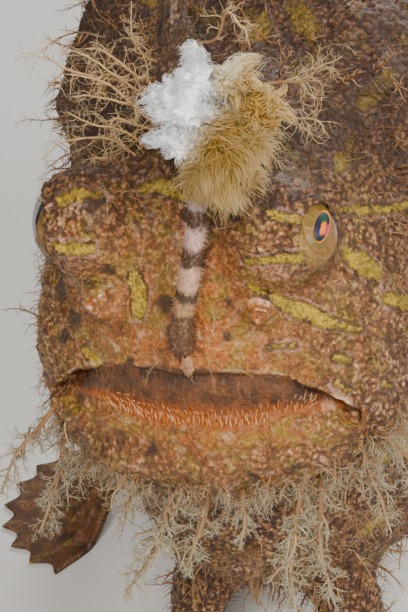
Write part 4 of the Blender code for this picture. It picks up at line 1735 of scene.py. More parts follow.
    def bump(self, height: object, strength: float, distance: float,
             normal: object = None) -> bpy.types.NodeSocket:
        """A normal from a height.

        Args:
            height: The height between 0 and 1.
            strength: How strongly it shows.
            distance: What a height of 1 stands for, in metres.
            normal: A normal to build on.

        Returns:
            The normal.
        """
        node = self.fill(self.add("ShaderNodeBump"), Strength=strength, Distance=distance, Height=height)
        if normal is not None:
            self.fill(node, Normal=normal)
        return node.outputs["Normal"]


def new_group(name: str, inputs: dict[str, object],
              outputs: dict[str, str]) -> tuple[bpy.types.NodeTree, Tree]:
    """An empty shader node group with named sockets.

    Args:
        name: The group's name.
        inputs: The default of each input: a colour, a number, or None for a vector.
        outputs: The socket type of each output.

    Returns:
        The group and a tree to fill it.
    """
    group = bpy.data.node_groups.new(name, "ShaderNodeTree")
    for key, default in inputs.items():
        kind = "Vector" if default is None else "Color" if isinstance(default, tuple) else "Float"
        socket = group.interface.new_socket(name=key, in_out="INPUT", socket_type="NodeSocket" + kind)
        if default is not None:
            socket.default_value = default
    for key, kind in outputs.items():
        group.interface.new_socket(name=key, in_out="OUTPUT", socket_type="NodeSocket" + kind)
    return group, Tree(group)


class Palette(Enum):
    """The fish's colours."""

    PINK = srgb(176, 118, 58)
    RUST = srgb(118, 68, 22)
    ORANGE = srgb(186, 102, 8)
    DEEP = srgb(56, 28, 10)
    PEARL = srgb(238, 190, 148)
    OLIVE = srgb(142, 118, 12)
    YELLOW = srgb(198, 162, 24)
    DOTS = srgb(70, 54, 8)
    OUTLINE = srgb(50, 28, 16)
    MARGIN = srgb(196, 152, 150)
    CREAM = srgb(206, 184, 138)
    LIP = srgb(144, 72, 2)
    MEMBRANE = srgb(52, 26, 4)
    TAN = srgb(158, 112, 66)
    BUFF = srgb(188, 154, 102)
    GREY = srgb(162, 156, 128)


class MarkingPaint:
    """The stripes, mottling and pebbles that skin, fins, eyes and strands share, as one node group."""

    reads: tuple[str, ...] = ("Place", "Tint", "Mark", "Warmth", "Grain")
    colours: tuple[Palette, ...] = (
        Palette.PINK, Palette.RUST, Palette.ORANGE, Palette.DEEP, Palette.PEARL, Palette.OLIVE,
        Palette.YELLOW, Palette.DOTS, Palette.OUTLINE, Palette.MARGIN)

    def __init__(self) -> None:
        """Makes the group, with a colour and a height."""
        inputs = dict(zip(self.reads, (None, None, 0.0, 0.0, 1.0)))
        inputs |= {colour.name.title(): colour.value for colour in self.colours}
        self.group, tree = new_group("fish markings", inputs, {"Color": "Color", "Height": "Float"})
        given = tree.add("NodeGroupInput").outputs
        place, grain = given["Place"], given["Grain"]
        broad, middling = tree.noise(place, 5.5, 3), tree.noise(place, 1.5, 4, 0.65)
        fine = tree.noise(place, 0.36, 4, 0.7)
        pebble = tree.cells(tree.warp(place, 0.55, 0.7), 0.62)
        dark_and_shade, ochre, pink = tree.split(given["Tint"])
        ground = self.ground(tree, given, (broad, middling, fine, pebble), (ochre, pink))
        edge = tree.plus(given["Mark"], tree.minus(tree.plus(tree.times(middling, 1.5), fine), 1.3))
        patchy = tree.step(tree.noise(place, 2.0, 3), 0.42, 0.58)
        margin = tree.times(tree.step(edge, -0.62, -0.4), tree.step(edge, -0.2, -0.34))
        outline = tree.times(tree.step(edge, -0.4, -0.16), tree.step(edge, 0.3, 0.04))
        stripe = tree.mix(tree.step(middling, 0.36, 0.6), given["Olive"], given["Yellow"])
        stripe = tree.over(stripe, given["Dots"], tree.step(tree.cells(place, 0.42), 0.5, 0.3), 0.6)
        stripe = tree.over(stripe, given["Dots"], tree.step(fine, 0.48, 0.34), 0.5)
        colour = tree.over(ground, given["Margin"], margin, tree.times(patchy, 0.4))
        colour = tree.over(colour, stripe, tree.step(edge, -0.4, 0.35), 0.9)
        colour = tree.over(colour, given["Outline"], outline, tree.minus(0.85, tree.times(patchy, 0.6)))
        # Darkens by the dark tint: the skin's dark blotches, with painted shade over the crown, nape and
        # hollows.
        colour = tree.over(colour, given["Outline"], dark_and_shade, 0.88)
        height = tree.plus(tree.times(tree.minus(1.0, pebble), grain), tree.times(fine, 0.8))
        tree.fill(tree.add("NodeGroupOutput"), Color=colour, Height=height)

    def ground(self, tree: Tree, given: bpy.types.NodeOutputs, textures: tuple[object, ...],
               tints: tuple[object, object]) -> bpy.types.NodeSocket:
        """The mottled and pebbled colour between the stripes, with painted shade between the pebbles and
        painted highlights on their crowns.

        Args:
            tree: The group's tree.
            given: The group's inputs.
            textures: Broad, middling and fine noise, and the pebbles' distance.
            tints: How ochre and how pink it is.

        Returns:
            The colour.
        """
        broad, middling, fine, pebble = textures
        place, grain, deep = given["Place"], given["Grain"], given["Deep"]
        rough, patch = tree.times(grain, grain), tree.step(middling, 0.3, 0.55)
        lumps = tree.noise(tree.warp(place, 3.0, 2.0), 1.9, 2, 0.5)
        tufts = tree.noise(place, 2.6, 3)
        # Painted shade in the gaps between the pebbles and painted highlights on their raised crowns.
        between = tree.times(tree.step(pebble, 0.38, 0.66), tree.plus(grain, 0.1))
        crown = tree.times(tree.step(pebble, 0.3, 0.08), tree.times(grain, tree.step(broad, 0.28, 0.5)))
        pearl = tree.mix(tree.step(tree.noise(place, 1.7, 2), 0.46, 0.6), given["Pearl"], given["Margin"])
        colour = tree.mix(tree.step(broad, 0.4, 0.62), given["Pink"], given["Rust"])
        for layer, *shares in (
                (given["Orange"], given["Warmth"], tree.step(middling, 0.25, 0.6)),
                (given["Pearl"], tree.step(lumps, 0.54, 0.7), 0.5),
                (deep, tree.step(lumps, 0.46, 0.32), 0.5),
                (given["Pink"], tints[1], patch, 0.8),
                (given["Orange"], tints[0], patch, 0.9),
                (deep, grain, tree.step(broad, 0.62, 0.34), 0.5),
                (deep, tree.step(middling, 0.54, 0.7), 0.5),
                (given["Olive"], tree.step(tufts, 0.46, 0.64), 0.6),
                (deep, tree.step(fine, 0.5, 0.34), 0.7),
                (given["Pearl"], tree.step(fine, 0.55, 0.68), 0.5),
                # Painted shade between the pebbles, then painted highlights on their crowns.
                (deep, between, tree.plus(0.4, tree.times(rough, 0.55))),
                (pearl, crown, tree.plus(0.25, tree.times(rough, 0.7)))):
            colour = tree.over(colour, layer, *shares)
        return colour

    def on(self, tree: Tree, **fixed: object) -> tuple[bpy.types.NodeSocket, bpy.types.NodeSocket]:
        """The markings in a material, read from the mesh's values.

        Args:
            tree: The material's tree.
            **fixed: What is put in place of a value.

        Returns:
            Their colour and their height.
        """
        node = tree.add("ShaderNodeGroup", node_tree=self.group)
        for name in self.reads:
            value = fixed[name] if name in fixed else tree.value(name.lower(), name in ("Place", "Tint"))
            tree.feed(node.inputs[name], value)
        return node.outputs["Color"], node.outputs["Height"]


def new_material(name: str) -> tuple[bpy.types.Material, Tree, bpy.types.Node]:
    """A material with its Principled shader.

    Args:
        name: The material's name.

    Returns:
        The material, its tree and the shader's node.
    """
    made = bpy.data.materials.new(name)
    made.use_nodes = True
    return made, Tree(made.node_tree), made.node_tree.nodes["Principled BSDF"]


@dataclass(frozen=True)
class SkinFinish:
    """Living skin: mottled, wet, and light inside."""

    paint: MarkingPaint
    roughness: tuple[float, float] = (0.34, 0.6)
    wetness: float = 0.1
    glow: float = 0.1

    def build(self) -> bpy.types.Material:
        """Makes the material.

        Returns:
            The material.
        """
        made, tree, shader = new_material("skin")
        colour, height = self.paint.on(tree)
        place, wet, lip = tree.value("place", True), tree.value("wet"), tree.value("lip")
        patchy = tree.step(tree.noise(place, 2.4, 4, 0.6), 0.38, 0.6)
        blotchy = tree.step(tree.noise(place, 1.1, 3), 0.42, 0.62)
        rolled = tree.mix(blotchy, Palette.LIP.value, Palette.OLIVE.value)
        colour = tree.over(colour, rolled, tree.step(lip, 0.3, 0.9), patchy, 0.45)
        colour = tree.over(colour, Palette.CREAM.value, tree.step(lip, -0.7, -1.0), patchy, 0.4)
        colour = tree.over(colour, self.lining(tree, place), wet, 0.96)
        low, high = self.roughness
        rough = tree.plus(tree.times(tree.noise(place, 0.8, 3), high - low), low)
        pores = tree.noise(place, 0.22, 4, 0.7)
        tree.fill(shader, Base_Color=colour, Roughness=tree.minus(rough, tree.times(wet, 0.14)),
                  Normal=tree.bump(pores, 0.6, 0.00016, tree.bump(height, 0.9, 0.00045)),
                  Coat_Weight=self.wetness, Coat_Roughness=0.22, Subsurface_Weight=self.glow,
                  Subsurface_Radius=(1.0, 0.45, 0.25), Subsurface_Scale=0.0012)
        return made

    def lining(self, tree: Tree, place: object) -> bpy.types.NodeSocket:
        """The mouth's lining: dark brown membrane, with orange streaks between the teeth.

        Args:
            tree: The material's tree.
            place: The place in millimetres.

        Returns:
            The lining's colour.
        """
        narrow = tree.add("ShaderNodeVectorMath", operation="MULTIPLY")
        tree.feed(narrow.inputs[0], place)
        tree.feed(narrow.inputs[1], (1.0, 0.22, 0.22))
        streaks = tree.noise(narrow.outputs["Vector"], 0.34, 3, 0.6)
        cloudy = tree.step(tree.noise(place, 2.2, 3), 0.35, 0.65)
        colour = tree.mix(cloudy, Palette.MEMBRANE.value, srgb(98, 52, 10))
        low = tree.plus(tree.value("gape"), tree.times(tree.minus(streaks, 0.5), 0.5))
        colour = tree.over(colour, Palette.LIP.value, tree.step(low, 0.42, 0.1))
        colour = tree.over(colour, srgb(196, 138, 84), tree.step(streaks, 0.56, 0.7), 0.3)
        pink = tree.split(tree.value("tint", True))[Tone.PINK.value]
        return tree.over(colour, srgb(232, 182, 148), pink, 0.8)


@dataclass(frozen=True)
class StrandFinish:
    """The coat's filaments: the skin's markings at their roots, pale and clear at their tips."""

    paint: MarkingPaint
    name: str = "coat"
    tip: Palette = Palette.CREAM
    stem: Palette = Palette.PINK
    glow: float = 0.3

    def build(self) -> bpy.types.Material:
        """Makes the material.

        Returns:
            The material.
        """
        made, tree, shader = new_material(self.name)
        pale = tree.value("pale")
        clear = tree.mix(tree.step(pale, 0.25, 0.9), self.stem.value, self.tip.value)
        colour = tree.over(self.paint.on(tree)[0], clear, tree.step(pale, 0.0, 0.65))
        tree.fill(shader, Base_Color=colour, Roughness=0.45, Coat_Weight=0.2, Subsurface_Weight=self.glow,
                  Subsurface_Radius=(1.0, 0.7, 0.45), Subsurface_Scale=0.0008)
        return made


@dataclass(frozen=True)
class FinFinish:
    """The fins: the skin's markings on bony rays and a thinner, warmer web."""

    paint: MarkingPaint
    dusk: float = 0.6

    def build(self) -> bpy.types.Material:
        """Makes the material.

        Returns:
            The material.
        """
        made, tree, shader = new_material("fin")
        colour, height = self.paint.on(tree, Tint=(self.dusk, 0.0, 0.0), Warmth=0.05)
        clouds = tree.noise(tree.value("place", True), 2.5, 4)
        web = tree.mix(tree.step(clouds, 0.3, 0.6), Palette.RUST.value, Palette.DEEP.value)
        colour = tree.over(colour, web, tree.step(tree.value("ray"), 0.7, 0.1), 0.55)
        tree.fill(shader, Base_Color=colour, Normal=tree.bump(height, 0.9, 0.0004), Roughness=0.62,
                  Subsurface_Weight=0.25, Subsurface_Radius=(1.0, 0.5, 0.3), Subsurface_Scale=0.0012)
        return made


@dataclass(frozen=True)
class EyeFinish:
    """The iris with its golden spokes and ring, the skin round it, and the pupil, which glows with painted
    light.
    """

    paint: MarkingPaint
    glow: float = 0.07
    pupil: float = 1.14
    glints: tuple[tuple[float, float, float, Colour], ...] = (
        (0.3, 0.55, 0.6, srgb(10, 66, 44)),
        (-0.75, 0.1, 0.5, srgb(6, 30, 74)),
        (0.3, -0.6, 0.58, srgb(196, 30, 104)),
        (-0.2, -0.1, 0.62, srgb(236, 126, 0)),
    )

    def build(self) -> bpy.types.Material:
        """Makes the material.

        Returns:
            The material.
        """
        made, tree, shader = new_material("eye")
        skin, height = self.paint.on(tree, Warmth=0.2, Grain=0.3)
        ring, spot, edge = tree.value("ring"), tree.value("spot", True), self.pupil
        rays, mottle = tree.noise(tree.value("spoke", True), 0.05, 2, 0.4), tree.noise(spot, 0.9, 3)
        skin = tree.mix(0.4, skin, srgb(132, 106, 50))
        rim = tree.step(tree.plus(ring, tree.times(mottle, 0.4)), 2.75, 3.0)
        gold = tree.times(tree.step(ring, edge - 0.03, edge), tree.step(ring, edge + 0.13, edge + 0.05))
        colour = tree.mix(tree.step(mottle, 0.42, 0.62), srgb(104, 84, 28), srgb(128, 88, 46))
        for layer, *shares in (
                (srgb(196, 154, 78), tree.step(rays, 0.56, 0.66), 0.5),
                (srgb(76, 54, 26), tree.step(rays, 0.42, 0.3), 0.35),
                (skin, tree.step(tree.plus(ring, tree.times(mottle, 0.8)), 2.1, 2.7)),
                # A pale rim on each eye's rear side: partly the cornea's pale edge, partly a painted
                # reflection of the dome's edge.
                (srgb(160, 142, 140), rim, tree.step(tree.value("rear"), -0.4, 1.6), 0.7),
                (srgb(222, 150, 36), gold),
                (self.lens(tree, ring, spot), tree.step(ring, edge, edge - 0.04))):
            colour = tree.over(colour, layer, *shares)
        rough = tree.times(height, tree.step(ring, 2.2, 2.9))
        # The pupil gives off its own colour: a painted glow.
        light = tree.mix(tree.step(ring, edge, edge + 0.4), colour, (0, 0, 0, 1))
        tree.fill(shader, Base_Color=colour, Roughness=0.45, Emission_Color=light,
                  Emission_Strength=self.glow,
                  Normal=tree.bump(rough, 0.8, 0.0003, tree.bump(rays, 0.3, 0.0001)))
        return made

    def lens(self, tree: Tree, ring: object, spot: object) -> bpy.types.NodeSocket:
        """The pupil's dark lens with the glints in it.

        Args:
            tree: The material's tree.
            ring: The distance from the eye's axis.
            spot: The place across the axis.

        Returns:
            Its colour.
        """
        ripple = tree.times(tree.minus(tree.noise(spot, 0.7, 2), 0.5), 1.1)
        colour: object = srgb(6, 16, 44)
        for across, up, reach, light in self.glints:
            off = tree.add("ShaderNodeVectorMath", operation="DISTANCE")
            tree.feed(off.inputs[0], spot)
            tree.feed(off.inputs[1], (across, up, 0))
            away = tree.plus(off.outputs["Value"], tree.times(ripple, reach))
            colour = tree.over(colour, light, tree.step(away, reach, reach * 0.45))
        return tree.over(colour, srgb(6, 12, 30), tree.step(ring, self.pupil - 0.2, self.pupil - 0.04))


@dataclass(frozen=True)
class DomeFinish:
    """The clear front of the eye: nothing but its gloss."""

    index: float = 1.16
    gloss: float = 0.6

    def build(self) -> bpy.types.Material:
        """Makes the material.

        Returns:
            The material.
        """
        made, tree, shader = new_material("eye dome")
        edge = tree.fill(tree.add("ShaderNodeFresnel"), IOR=self.index)
        tree.fill(shader, Alpha=tree.times(edge.outputs["Fac"], self.gloss), Base_Color=srgb(150, 166, 180),
                  Metallic=1.0, Roughness=0.05)
        return made


@dataclass(frozen=True)
class ToothFinish:
    """Small teeth of pale bone, more or less stained with orange."""

    def build(self) -> bpy.types.Material:
        """Makes the material.

        Returns:
            The material.
        """
        made, tree, shader = new_material("teeth")
        colour = tree.mix(tree.value("warm"), srgb(204, 152, 108), srgb(186, 104, 18))
        tree.fill(shader, Base_Color=colour, Roughness=0.3, Subsurface_Weight=0.3, Subsurface_Scale=0.0006)
        return made


@dataclass(frozen=True)
class NostrilFinish:
    """A nostril's tube: the skin's colours outside, a faint cream rim and an orange bore."""

    paint: MarkingPaint
    bore: Colour = srgb(176, 84, 22)

    def build(self) -> bpy.types.Material:
        """Makes the material.

        Returns:
            The material.
        """
        made, tree, shader = new_material("nostril")
        colour, height = self.paint.on(tree, Mark=-3.0, Tint=(0.0, 0.0, 0.0), Warmth=0.5, Grain=0.6)
        along, ring = tree.value("along"), tree.value("ring")
        rim = tree.times(tree.step(along, 0.4, 0.85), tree.step(ring, 0.72, 0.9))
        colour = tree.over(colour, Palette.CREAM.value, rim, 0.15)
        colour = tree.over(colour, self.bore, tree.step(ring, 0.8, 0.55))
        tree.fill(shader, Base_Color=colour, Normal=tree.bump(height, 0.4, 0.00015), Roughness=0.4,
                  Coat_Weight=0.4, Subsurface_Weight=0.15, Subsurface_Scale=0.001)
        return made


@dataclass(frozen=True)
class StalkFinish:
    """The rod's dark and pale bands, from its foot up."""

    bands: tuple[tuple[float, Colour], ...] = (
        (0.0, srgb(150, 104, 70)), (0.265, srgb(88, 54, 32)), (0.489, srgb(160, 118, 82)),
        (0.529, srgb(60, 44, 26)), (0.563, srgb(190, 148, 124)), (0.629, srgb(66, 38, 24)),
        (0.682, srgb(186, 154, 144)), (0.738, srgb(66, 40, 26)), (0.80, srgb(178, 154, 152)),
    )
    soft: float = 0.009

    def build(self) -> bpy.types.Material:
        """Makes the material.

        Returns:
            The material.
        """
        made, tree, shader = new_material("rod")
        place = tree.value("place", True)
        jitter = tree.times(tree.minus(tree.noise(place, 0.9, 4, 0.65), 0.5), 0.055)
        along = tree.plus(tree.value("along"), jitter)
        mottle = tree.noise(place, 0.35, 4, 0.65)
        colour: object = self.bands[0][1]
        for start, band in self.bands[1:]:
            colour = tree.over(colour, band, tree.step(along, start - self.soft, start + self.soft))
        colour = tree.over(colour, srgb(196, 166, 130), tree.step(mottle, 0.5, 0.7), 0.4)
        colour = tree.over(colour, srgb(46, 28, 18), tree.step(mottle, 0.5, 0.3), 0.35)
        tree.fill(shader, Base_Color=colour, Normal=tree.bump(mottle, 0.6, 0.00015), Roughness=0.5,
                  Subsurface_Weight=0.12, Subsurface_Scale=0.0008)
        return made


@dataclass(frozen=True)
class TuftFinish:
    """One of the tuft's soft tissues, with darker specks, and its neighbour's colour towards one end."""

    name: str
    base: Colour
    tip: Colour
    speck: Colour
    specks: float
    other: Colour
    span: tuple[float, float]

    def build(self) -> bpy.types.Material:
        """Makes the material.

        Returns:
            The material.
        """
        made, tree, shader = new_material(self.name)
        place = tree.value("place", True)
        colour = tree.mix(tree.step(tree.value("pale"), 0.05, 0.85), self.base, self.tip)
        spots = tree.step(tree.noise(place, 1.6, 3, 0.6), 0.56, 0.68)
        colour = tree.over(colour, self.speck, spots, self.specks)
        x, _, z = tree.split(tree.warp(place, 1.4, 3.0))
        across = tree.minus(x, tree.times(z, 0.6))
        colour = tree.over(colour, self.other, tree.step(across, *self.span), 0.85)
        tree.fill(shader, Base_Color=colour, Normal=tree.bump(tree.noise(place, 0.3, 4, 0.65), 0.5, 0.00015),
                  Roughness=0.6, Subsurface_Weight=0.4, Subsurface_Radius=(1.0, 0.9, 0.8),
                  Subsurface_Scale=0.001)
        return made


# Fins


def smooth_across(lines: Points, places: Points) -> Points:
    """Lines between lines, by a smooth curve through each row.

    Args:
        lines: The given lines, n x rows x 3.
        places: Where the wanted ones lie, as shares of the step from one line to the next.

    Returns:
        The wanted lines.
    """
    padded = np.concatenate([2 * lines[:1] - lines[1:2], lines, 2 * lines[-1:] - lines[-2:-1]])
    index = np.minimum(places.astype(int), len(lines) - 2)
    return between_knots(padded, index, (places - index)[:, None, None])


def slab(count: int, rows: int) -> Points:
    """The triangles of a sheet's two faces and of the rim between them.

    Args:
        count: Points across the sheet.
        rows: Points along it.

    Returns:
        The triangles, n x 3.
    """
    index = np.arange(count * rows).reshape(count, rows)
    a, b, c, d = index[:-1, :-1], index[1:, :-1], index[1:, 1:], index[:-1, 1:]
    quads = np.stack([a, d, c, b], -1).reshape(-1, 4)
    rim = np.concatenate([index[:, 0], index[-1, 1:], index[-2::-1, -1], index[0, -2:0:-1]])
    after, low = np.roll(rim, -1), count * rows
    quads = np.vstack([quads, (quads + low)[:, ::-1], np.stack([rim, after, after + low, rim + low], -1)])
    return np.vstack([quads[:, [0, 2, 1]], quads[:, [0, 3, 2]]])


@dataclass
class Fan:
    """A fin of bony rays with a thin web between them."""

    name: str
    rays: Points
    root_half: float = 1.1
    tip_half: float = 0.26
    web: float = 0.13
    notch: float = 0.1
    ripple: float = 0.35
    step: int = 8
    rows: int = 50
    bands: float = 3.2
    flat_sole: bool = False
    ray_width: float = 0.16
    joint: float = 0.07
    joints: int = 26
    thinning: float = 0.03

    def sheet(self) -> tuple[Points, Points, Points]:
        """The middle of the fin, as a grid from root to edge.

        Returns:
            Its places, each column's share of the way between two rays, and each row's share of the length.
        """
        count = (len(self.rays) - 1) * self.step + 1
        places = np.linspace(0, len(self.rays) - 1, count)
        between = places - np.floor(places)
        along = np.linspace(0, 1, self.rows)
        lines = np.array([curve_through(ray, self.rows) for ray in self.rays])
        lines = smooth_across(lines, places)
        cut = self.notch * np.sin(math.pi * between) ** 1.3
        share = along[None] * (1 - cut[:, None] * along[None])
        parts = [[np.interp(s, along, line[:, k]) for s, line in zip(share, lines)] for k in range(3)]
        return np.stack(parts, -1), between, along

    def half(self, ridge: Points, along: Points) -> Points:
        """Half the fin's thickness, with the joints along its rays.

        Args:
            ridge: How much each column is part of a ray.
            along: Each row's share of the length.

        Returns:
            One value for each place of the grid.
        """
        ray = self.root_half + (self.tip_half - self.root_half) * along[None] ** 0.7
        joints = 1 + self.joint * np.sin(along[None] * 2 * math.pi * self.joints)
        edge = np.sqrt(np.clip((1 - along[None]) / self.thinning, 0.04, 1))
        return (self.web + (ray * joints - self.web) * ridge) * edge

    def sway(self, between: Points, along: Points) -> Points:
        """How far the web sways out of the fin's plane.

        Args:
            between: Each column's share of the way between two rays.
            along: Each row's share of the length.

        Returns:
            One value for each place of the grid.
        """
        sway = self.ripple * np.sin(math.pi * between)[:, None] * np.sin(along * 5.0 + 1.0)[None]
        return sway * np.cos(np.arange(len(between)) / self.step * 2.4)[:, None] * along[None]

    def mark(self, places: Points, share: Points) -> Points:
        """The cloudy bands across the fin, as a depth in the markings' stripes.

        Args:
            places: Places, n x 3.
            share: Their shares of the length.

        Returns:
            One value for each place.
        """
        band = np.sin(2 * math.pi * (share * self.bands + 0.28 * fractal(places, 7.0, 2)))
        return 0.75 * band - 0.75 + 0.5 * fractal(places, 3.0, 2)

    def build(self, finish: bpy.types.Material, *nodes: str) -> Roots:
        """Makes the fin.

        Args:
            finish: Its material.
            *nodes: The solids that it stands for.

        Returns:
            The fin as ground that strands can grow from.
        """
        grid, between, along = self.sheet()
        normal = unit(np.cross(np.gradient(grid, axis=0), np.gradient(grid, axis=1)))
        ridge = np.exp(-((np.minimum(between, 1 - between) / self.ray_width) ** 2))[:, None]
        grid = grid + normal * self.sway(between, along)[..., None]
        half = self.half(ridge, along)[..., None]
        points = np.vstack([(grid + normal * half).reshape(-1, 3), (grid - normal * half).reshape(-1, 3)])
        if self.flat_sole:
            points[:, 2] = np.maximum(points[:, 2], floor_height())
        share, rays = (np.tile(np.broadcast_to(value, grid.shape[:2]).ravel(), 2) for value in (along, ridge))
        middle = np.vstack([grid.reshape(-1, 3)] * 2)
        values = {"place": middle, "mark": self.mark(middle, share), "warmth": 0 * share,
                  "grain": 0.5 + 0 * share, "ray": rays, "share": share}
        shell = Shell(points, slab(*grid.shape[:2]), values)
        shell.piece(self.name, finish, "fin", *nodes)
        out = np.vstack([normal.reshape(-1, 3), -normal.reshape(-1, 3)])
        return Roots(shell, out)


@dataclass(frozen=True)
class Hand:
    """A hand or foot: its rays, half its root's width, its length, and how far its outer rays turn out."""

    rays: int
    width: float
    length: float
    spread: float


@dataclass
class Fins:
    """The places of every fin's rays, those of the solids."""

    dorsal: tuple[int, float, float, float] = (12, -4.0, 56.0, 23.0)
    anal: tuple[int, float, float, float] = (7, 22.0, 54.0, 19.0)
    tail_rays: int = 9
    tail_length: float = 36.0
    tail_half_height: float = 7.4
    tail_spread: float = math.radians(33)
    palm: Hand = Hand(9, 4.6, 22.0, math.radians(56))
    sole: Hand = Hand(5, 2.6, 13.0, math.radians(42))
    toe_height: float = 0.45
    landing: float = 0.6

    def long_fin(self, spec: tuple[int, float, float, float], up: bool) -> Points:
        """The rays of a fin along the middle of the back or the belly.

        Args:
            spec: How many rays, where the first and the last stand, and how tall they are.
            up: Whether it is the back's.

        Returns:
            The rays, n x 7 x 3.
        """
        count, front, back, height = spec
        rays = []
        sign = 1.0 if up else -1.0
        for i in range(count):
            share = i / (count - 1)
            origin = np.array([(0.0, front + (back - front) * share, 58.0)])
            root = march(FLESH.plain, origin, np.array([(0, 0, sign)]), np.full(1, 90.0))[0]
            lean = math.radians(30 + 28 * share)
            tall = height * (0.72 + 0.42 * math.sin(math.pi * (0.12 + 0.74 * share)))
            along = np.array((0, math.sin(lean), sign * math.cos(lean)))
            sway = 1.6 * math.sin(i * 1.1)
            root = root - along * 3
            tip = root + along * (tall + 2.6) + np.array((sway, 0, 0))
            bend = root + along * tall * 0.55 + np.array((-sway * 0.4, -1.2, sign * 1.5))
            rays.append(bent(root, bend, tip, 7))
        return np.array(rays)

    def tail(self) -> Points:
        """The rays of the tail fin.

        Returns:
            The rays, n x 7 x 3.
        """
        rays = []
        for share in np.linspace(-1, 1, self.tail_rays):
            turn = share * self.tail_spread
            root = np.array((0, 66.3, 60 + share * self.tail_half_height))
            length = self.tail_length * (1 - 0.12 * share**2) + 1.6
            sway = 2.2 * share
            tip = root + np.array((3.0 + sway, length * math.cos(turn), length * math.sin(turn)))
            bend = root + np.array((sway * 0.3, length * 0.5, length * 0.5 * math.sin(turn) * 0.85))
            rays.append(bent(root, bend, tip, 7))
        return np.array(rays)

    def hand(self, arm: Branch, spec: Hand) -> Points:
        """The rays of a hand, from the wrist down to the floor.

        Args:
            arm: The arm that carries it, which sets the way that it points.
            spec: The hand's sizes.

        Returns:
            The rays, n x 15 x 3.
        """
        line = arm.line(7) * (arm.side, 1, 1)
        wrist = line[-1] + (line[-2] - line[-1]) * 0.75
        ahead = np.array((math.cos(arm.turn), math.sin(arm.turn), 0))
        across = np.array((-math.sin(arm.turn), math.cos(arm.turn), 0))
        along = np.linspace(0, 1, 15)[:, None]
        drop = np.clip(1 - along / self.landing, 0, 1) ** 1.5
        rays = []
        for share in np.linspace(-1, 1, spec.rays):
            outward = ahead * math.cos(share * spec.spread) + across * math.sin(share * spec.spread)
            root = wrist + across * share * spec.width
            path = root + outward * spec.length * (1 - 0.16 * share**2) * 0.99 * along
            path[:, 2:] = self.toe_height + (root[2] - self.toe_height) * drop
            rays.append(path * (arm.side, 1, 1))
        return np.array(rays)

    def build(self, finish: bpy.types.Material) -> dict[str, Roots]:
        """Makes every fin.

        Args:
            finish: Their material.

        Returns:
            Each fin as ground that strands can grow from.
        """
        fans = [Fan("dorsal_web", self.long_fin(self.dorsal, True)),
                Fan("anal_web", self.long_fin(self.anal, False)),
                Fan("tail_web", self.tail(), root_half=1.5, notch=0.08)]
        nodes = ["dorsal_fin", "anal_fin", "tail_fin"]
        for side in ("left", "right"):
            hand = self.hand(BRANCHES["pectoral_arm_" + side], self.palm)
            foot = self.hand(BRANCHES["pelvic_arm_" + side], self.sole)
            fans.append(Fan("hand_" + side, hand, root_half=1.3, notch=0.09, ripple=0.1, bands=2.2,
                            flat_sole=True))
            fans.append(Fan("foot_" + side, foot, root_half=1.0, ripple=0.05, rows=40, bands=1.6,
                            flat_sole=True))
            nodes += ["pectoral_fin_" + side, "pelvic_fin_" + side]
        return {fan.name: fan.build(finish, node) for fan, node in zip(fans, nodes)}


# Eyes, teeth and nostrils


def lathe(centre: Points, axis: Points, profile: Points, sides: int) -> Shell:
    """A turned form.

    Args:
        centre: Where the profile's zero is.
        axis: The unit direction of its axis.
        profile: Place along the axis and radius, n x 2.
        sides: Points round it.

    Returns:
        The form, with its distance from the axis, its height along it and its unit spokes.
    """
    turns = 2 * math.pi * np.arange(sides) / sides
    spokes = np.outer(np.cos(turns), np.cross(upright(axis), axis)) + np.outer(np.sin(turns), upright(axis))
    along, radii = profile[:, 0], profile[:, 1]
    points = centre + along[:, None, None] * axis + radii[:, None, None] * spokes[None]
    flat = np.stack([np.cos(turns), np.sin(turns), 0 * turns], 1)
    values = {"ring": np.repeat(radii, sides), "along": np.repeat(along, sides),
              "spoke": np.tile(flat, (len(profile), 1)),
              "spot": (flat[None] * radii[:, None, None]).reshape(-1, 3)}
    return Shell(points.reshape(-1, 3), wall(len(profile), sides), values)


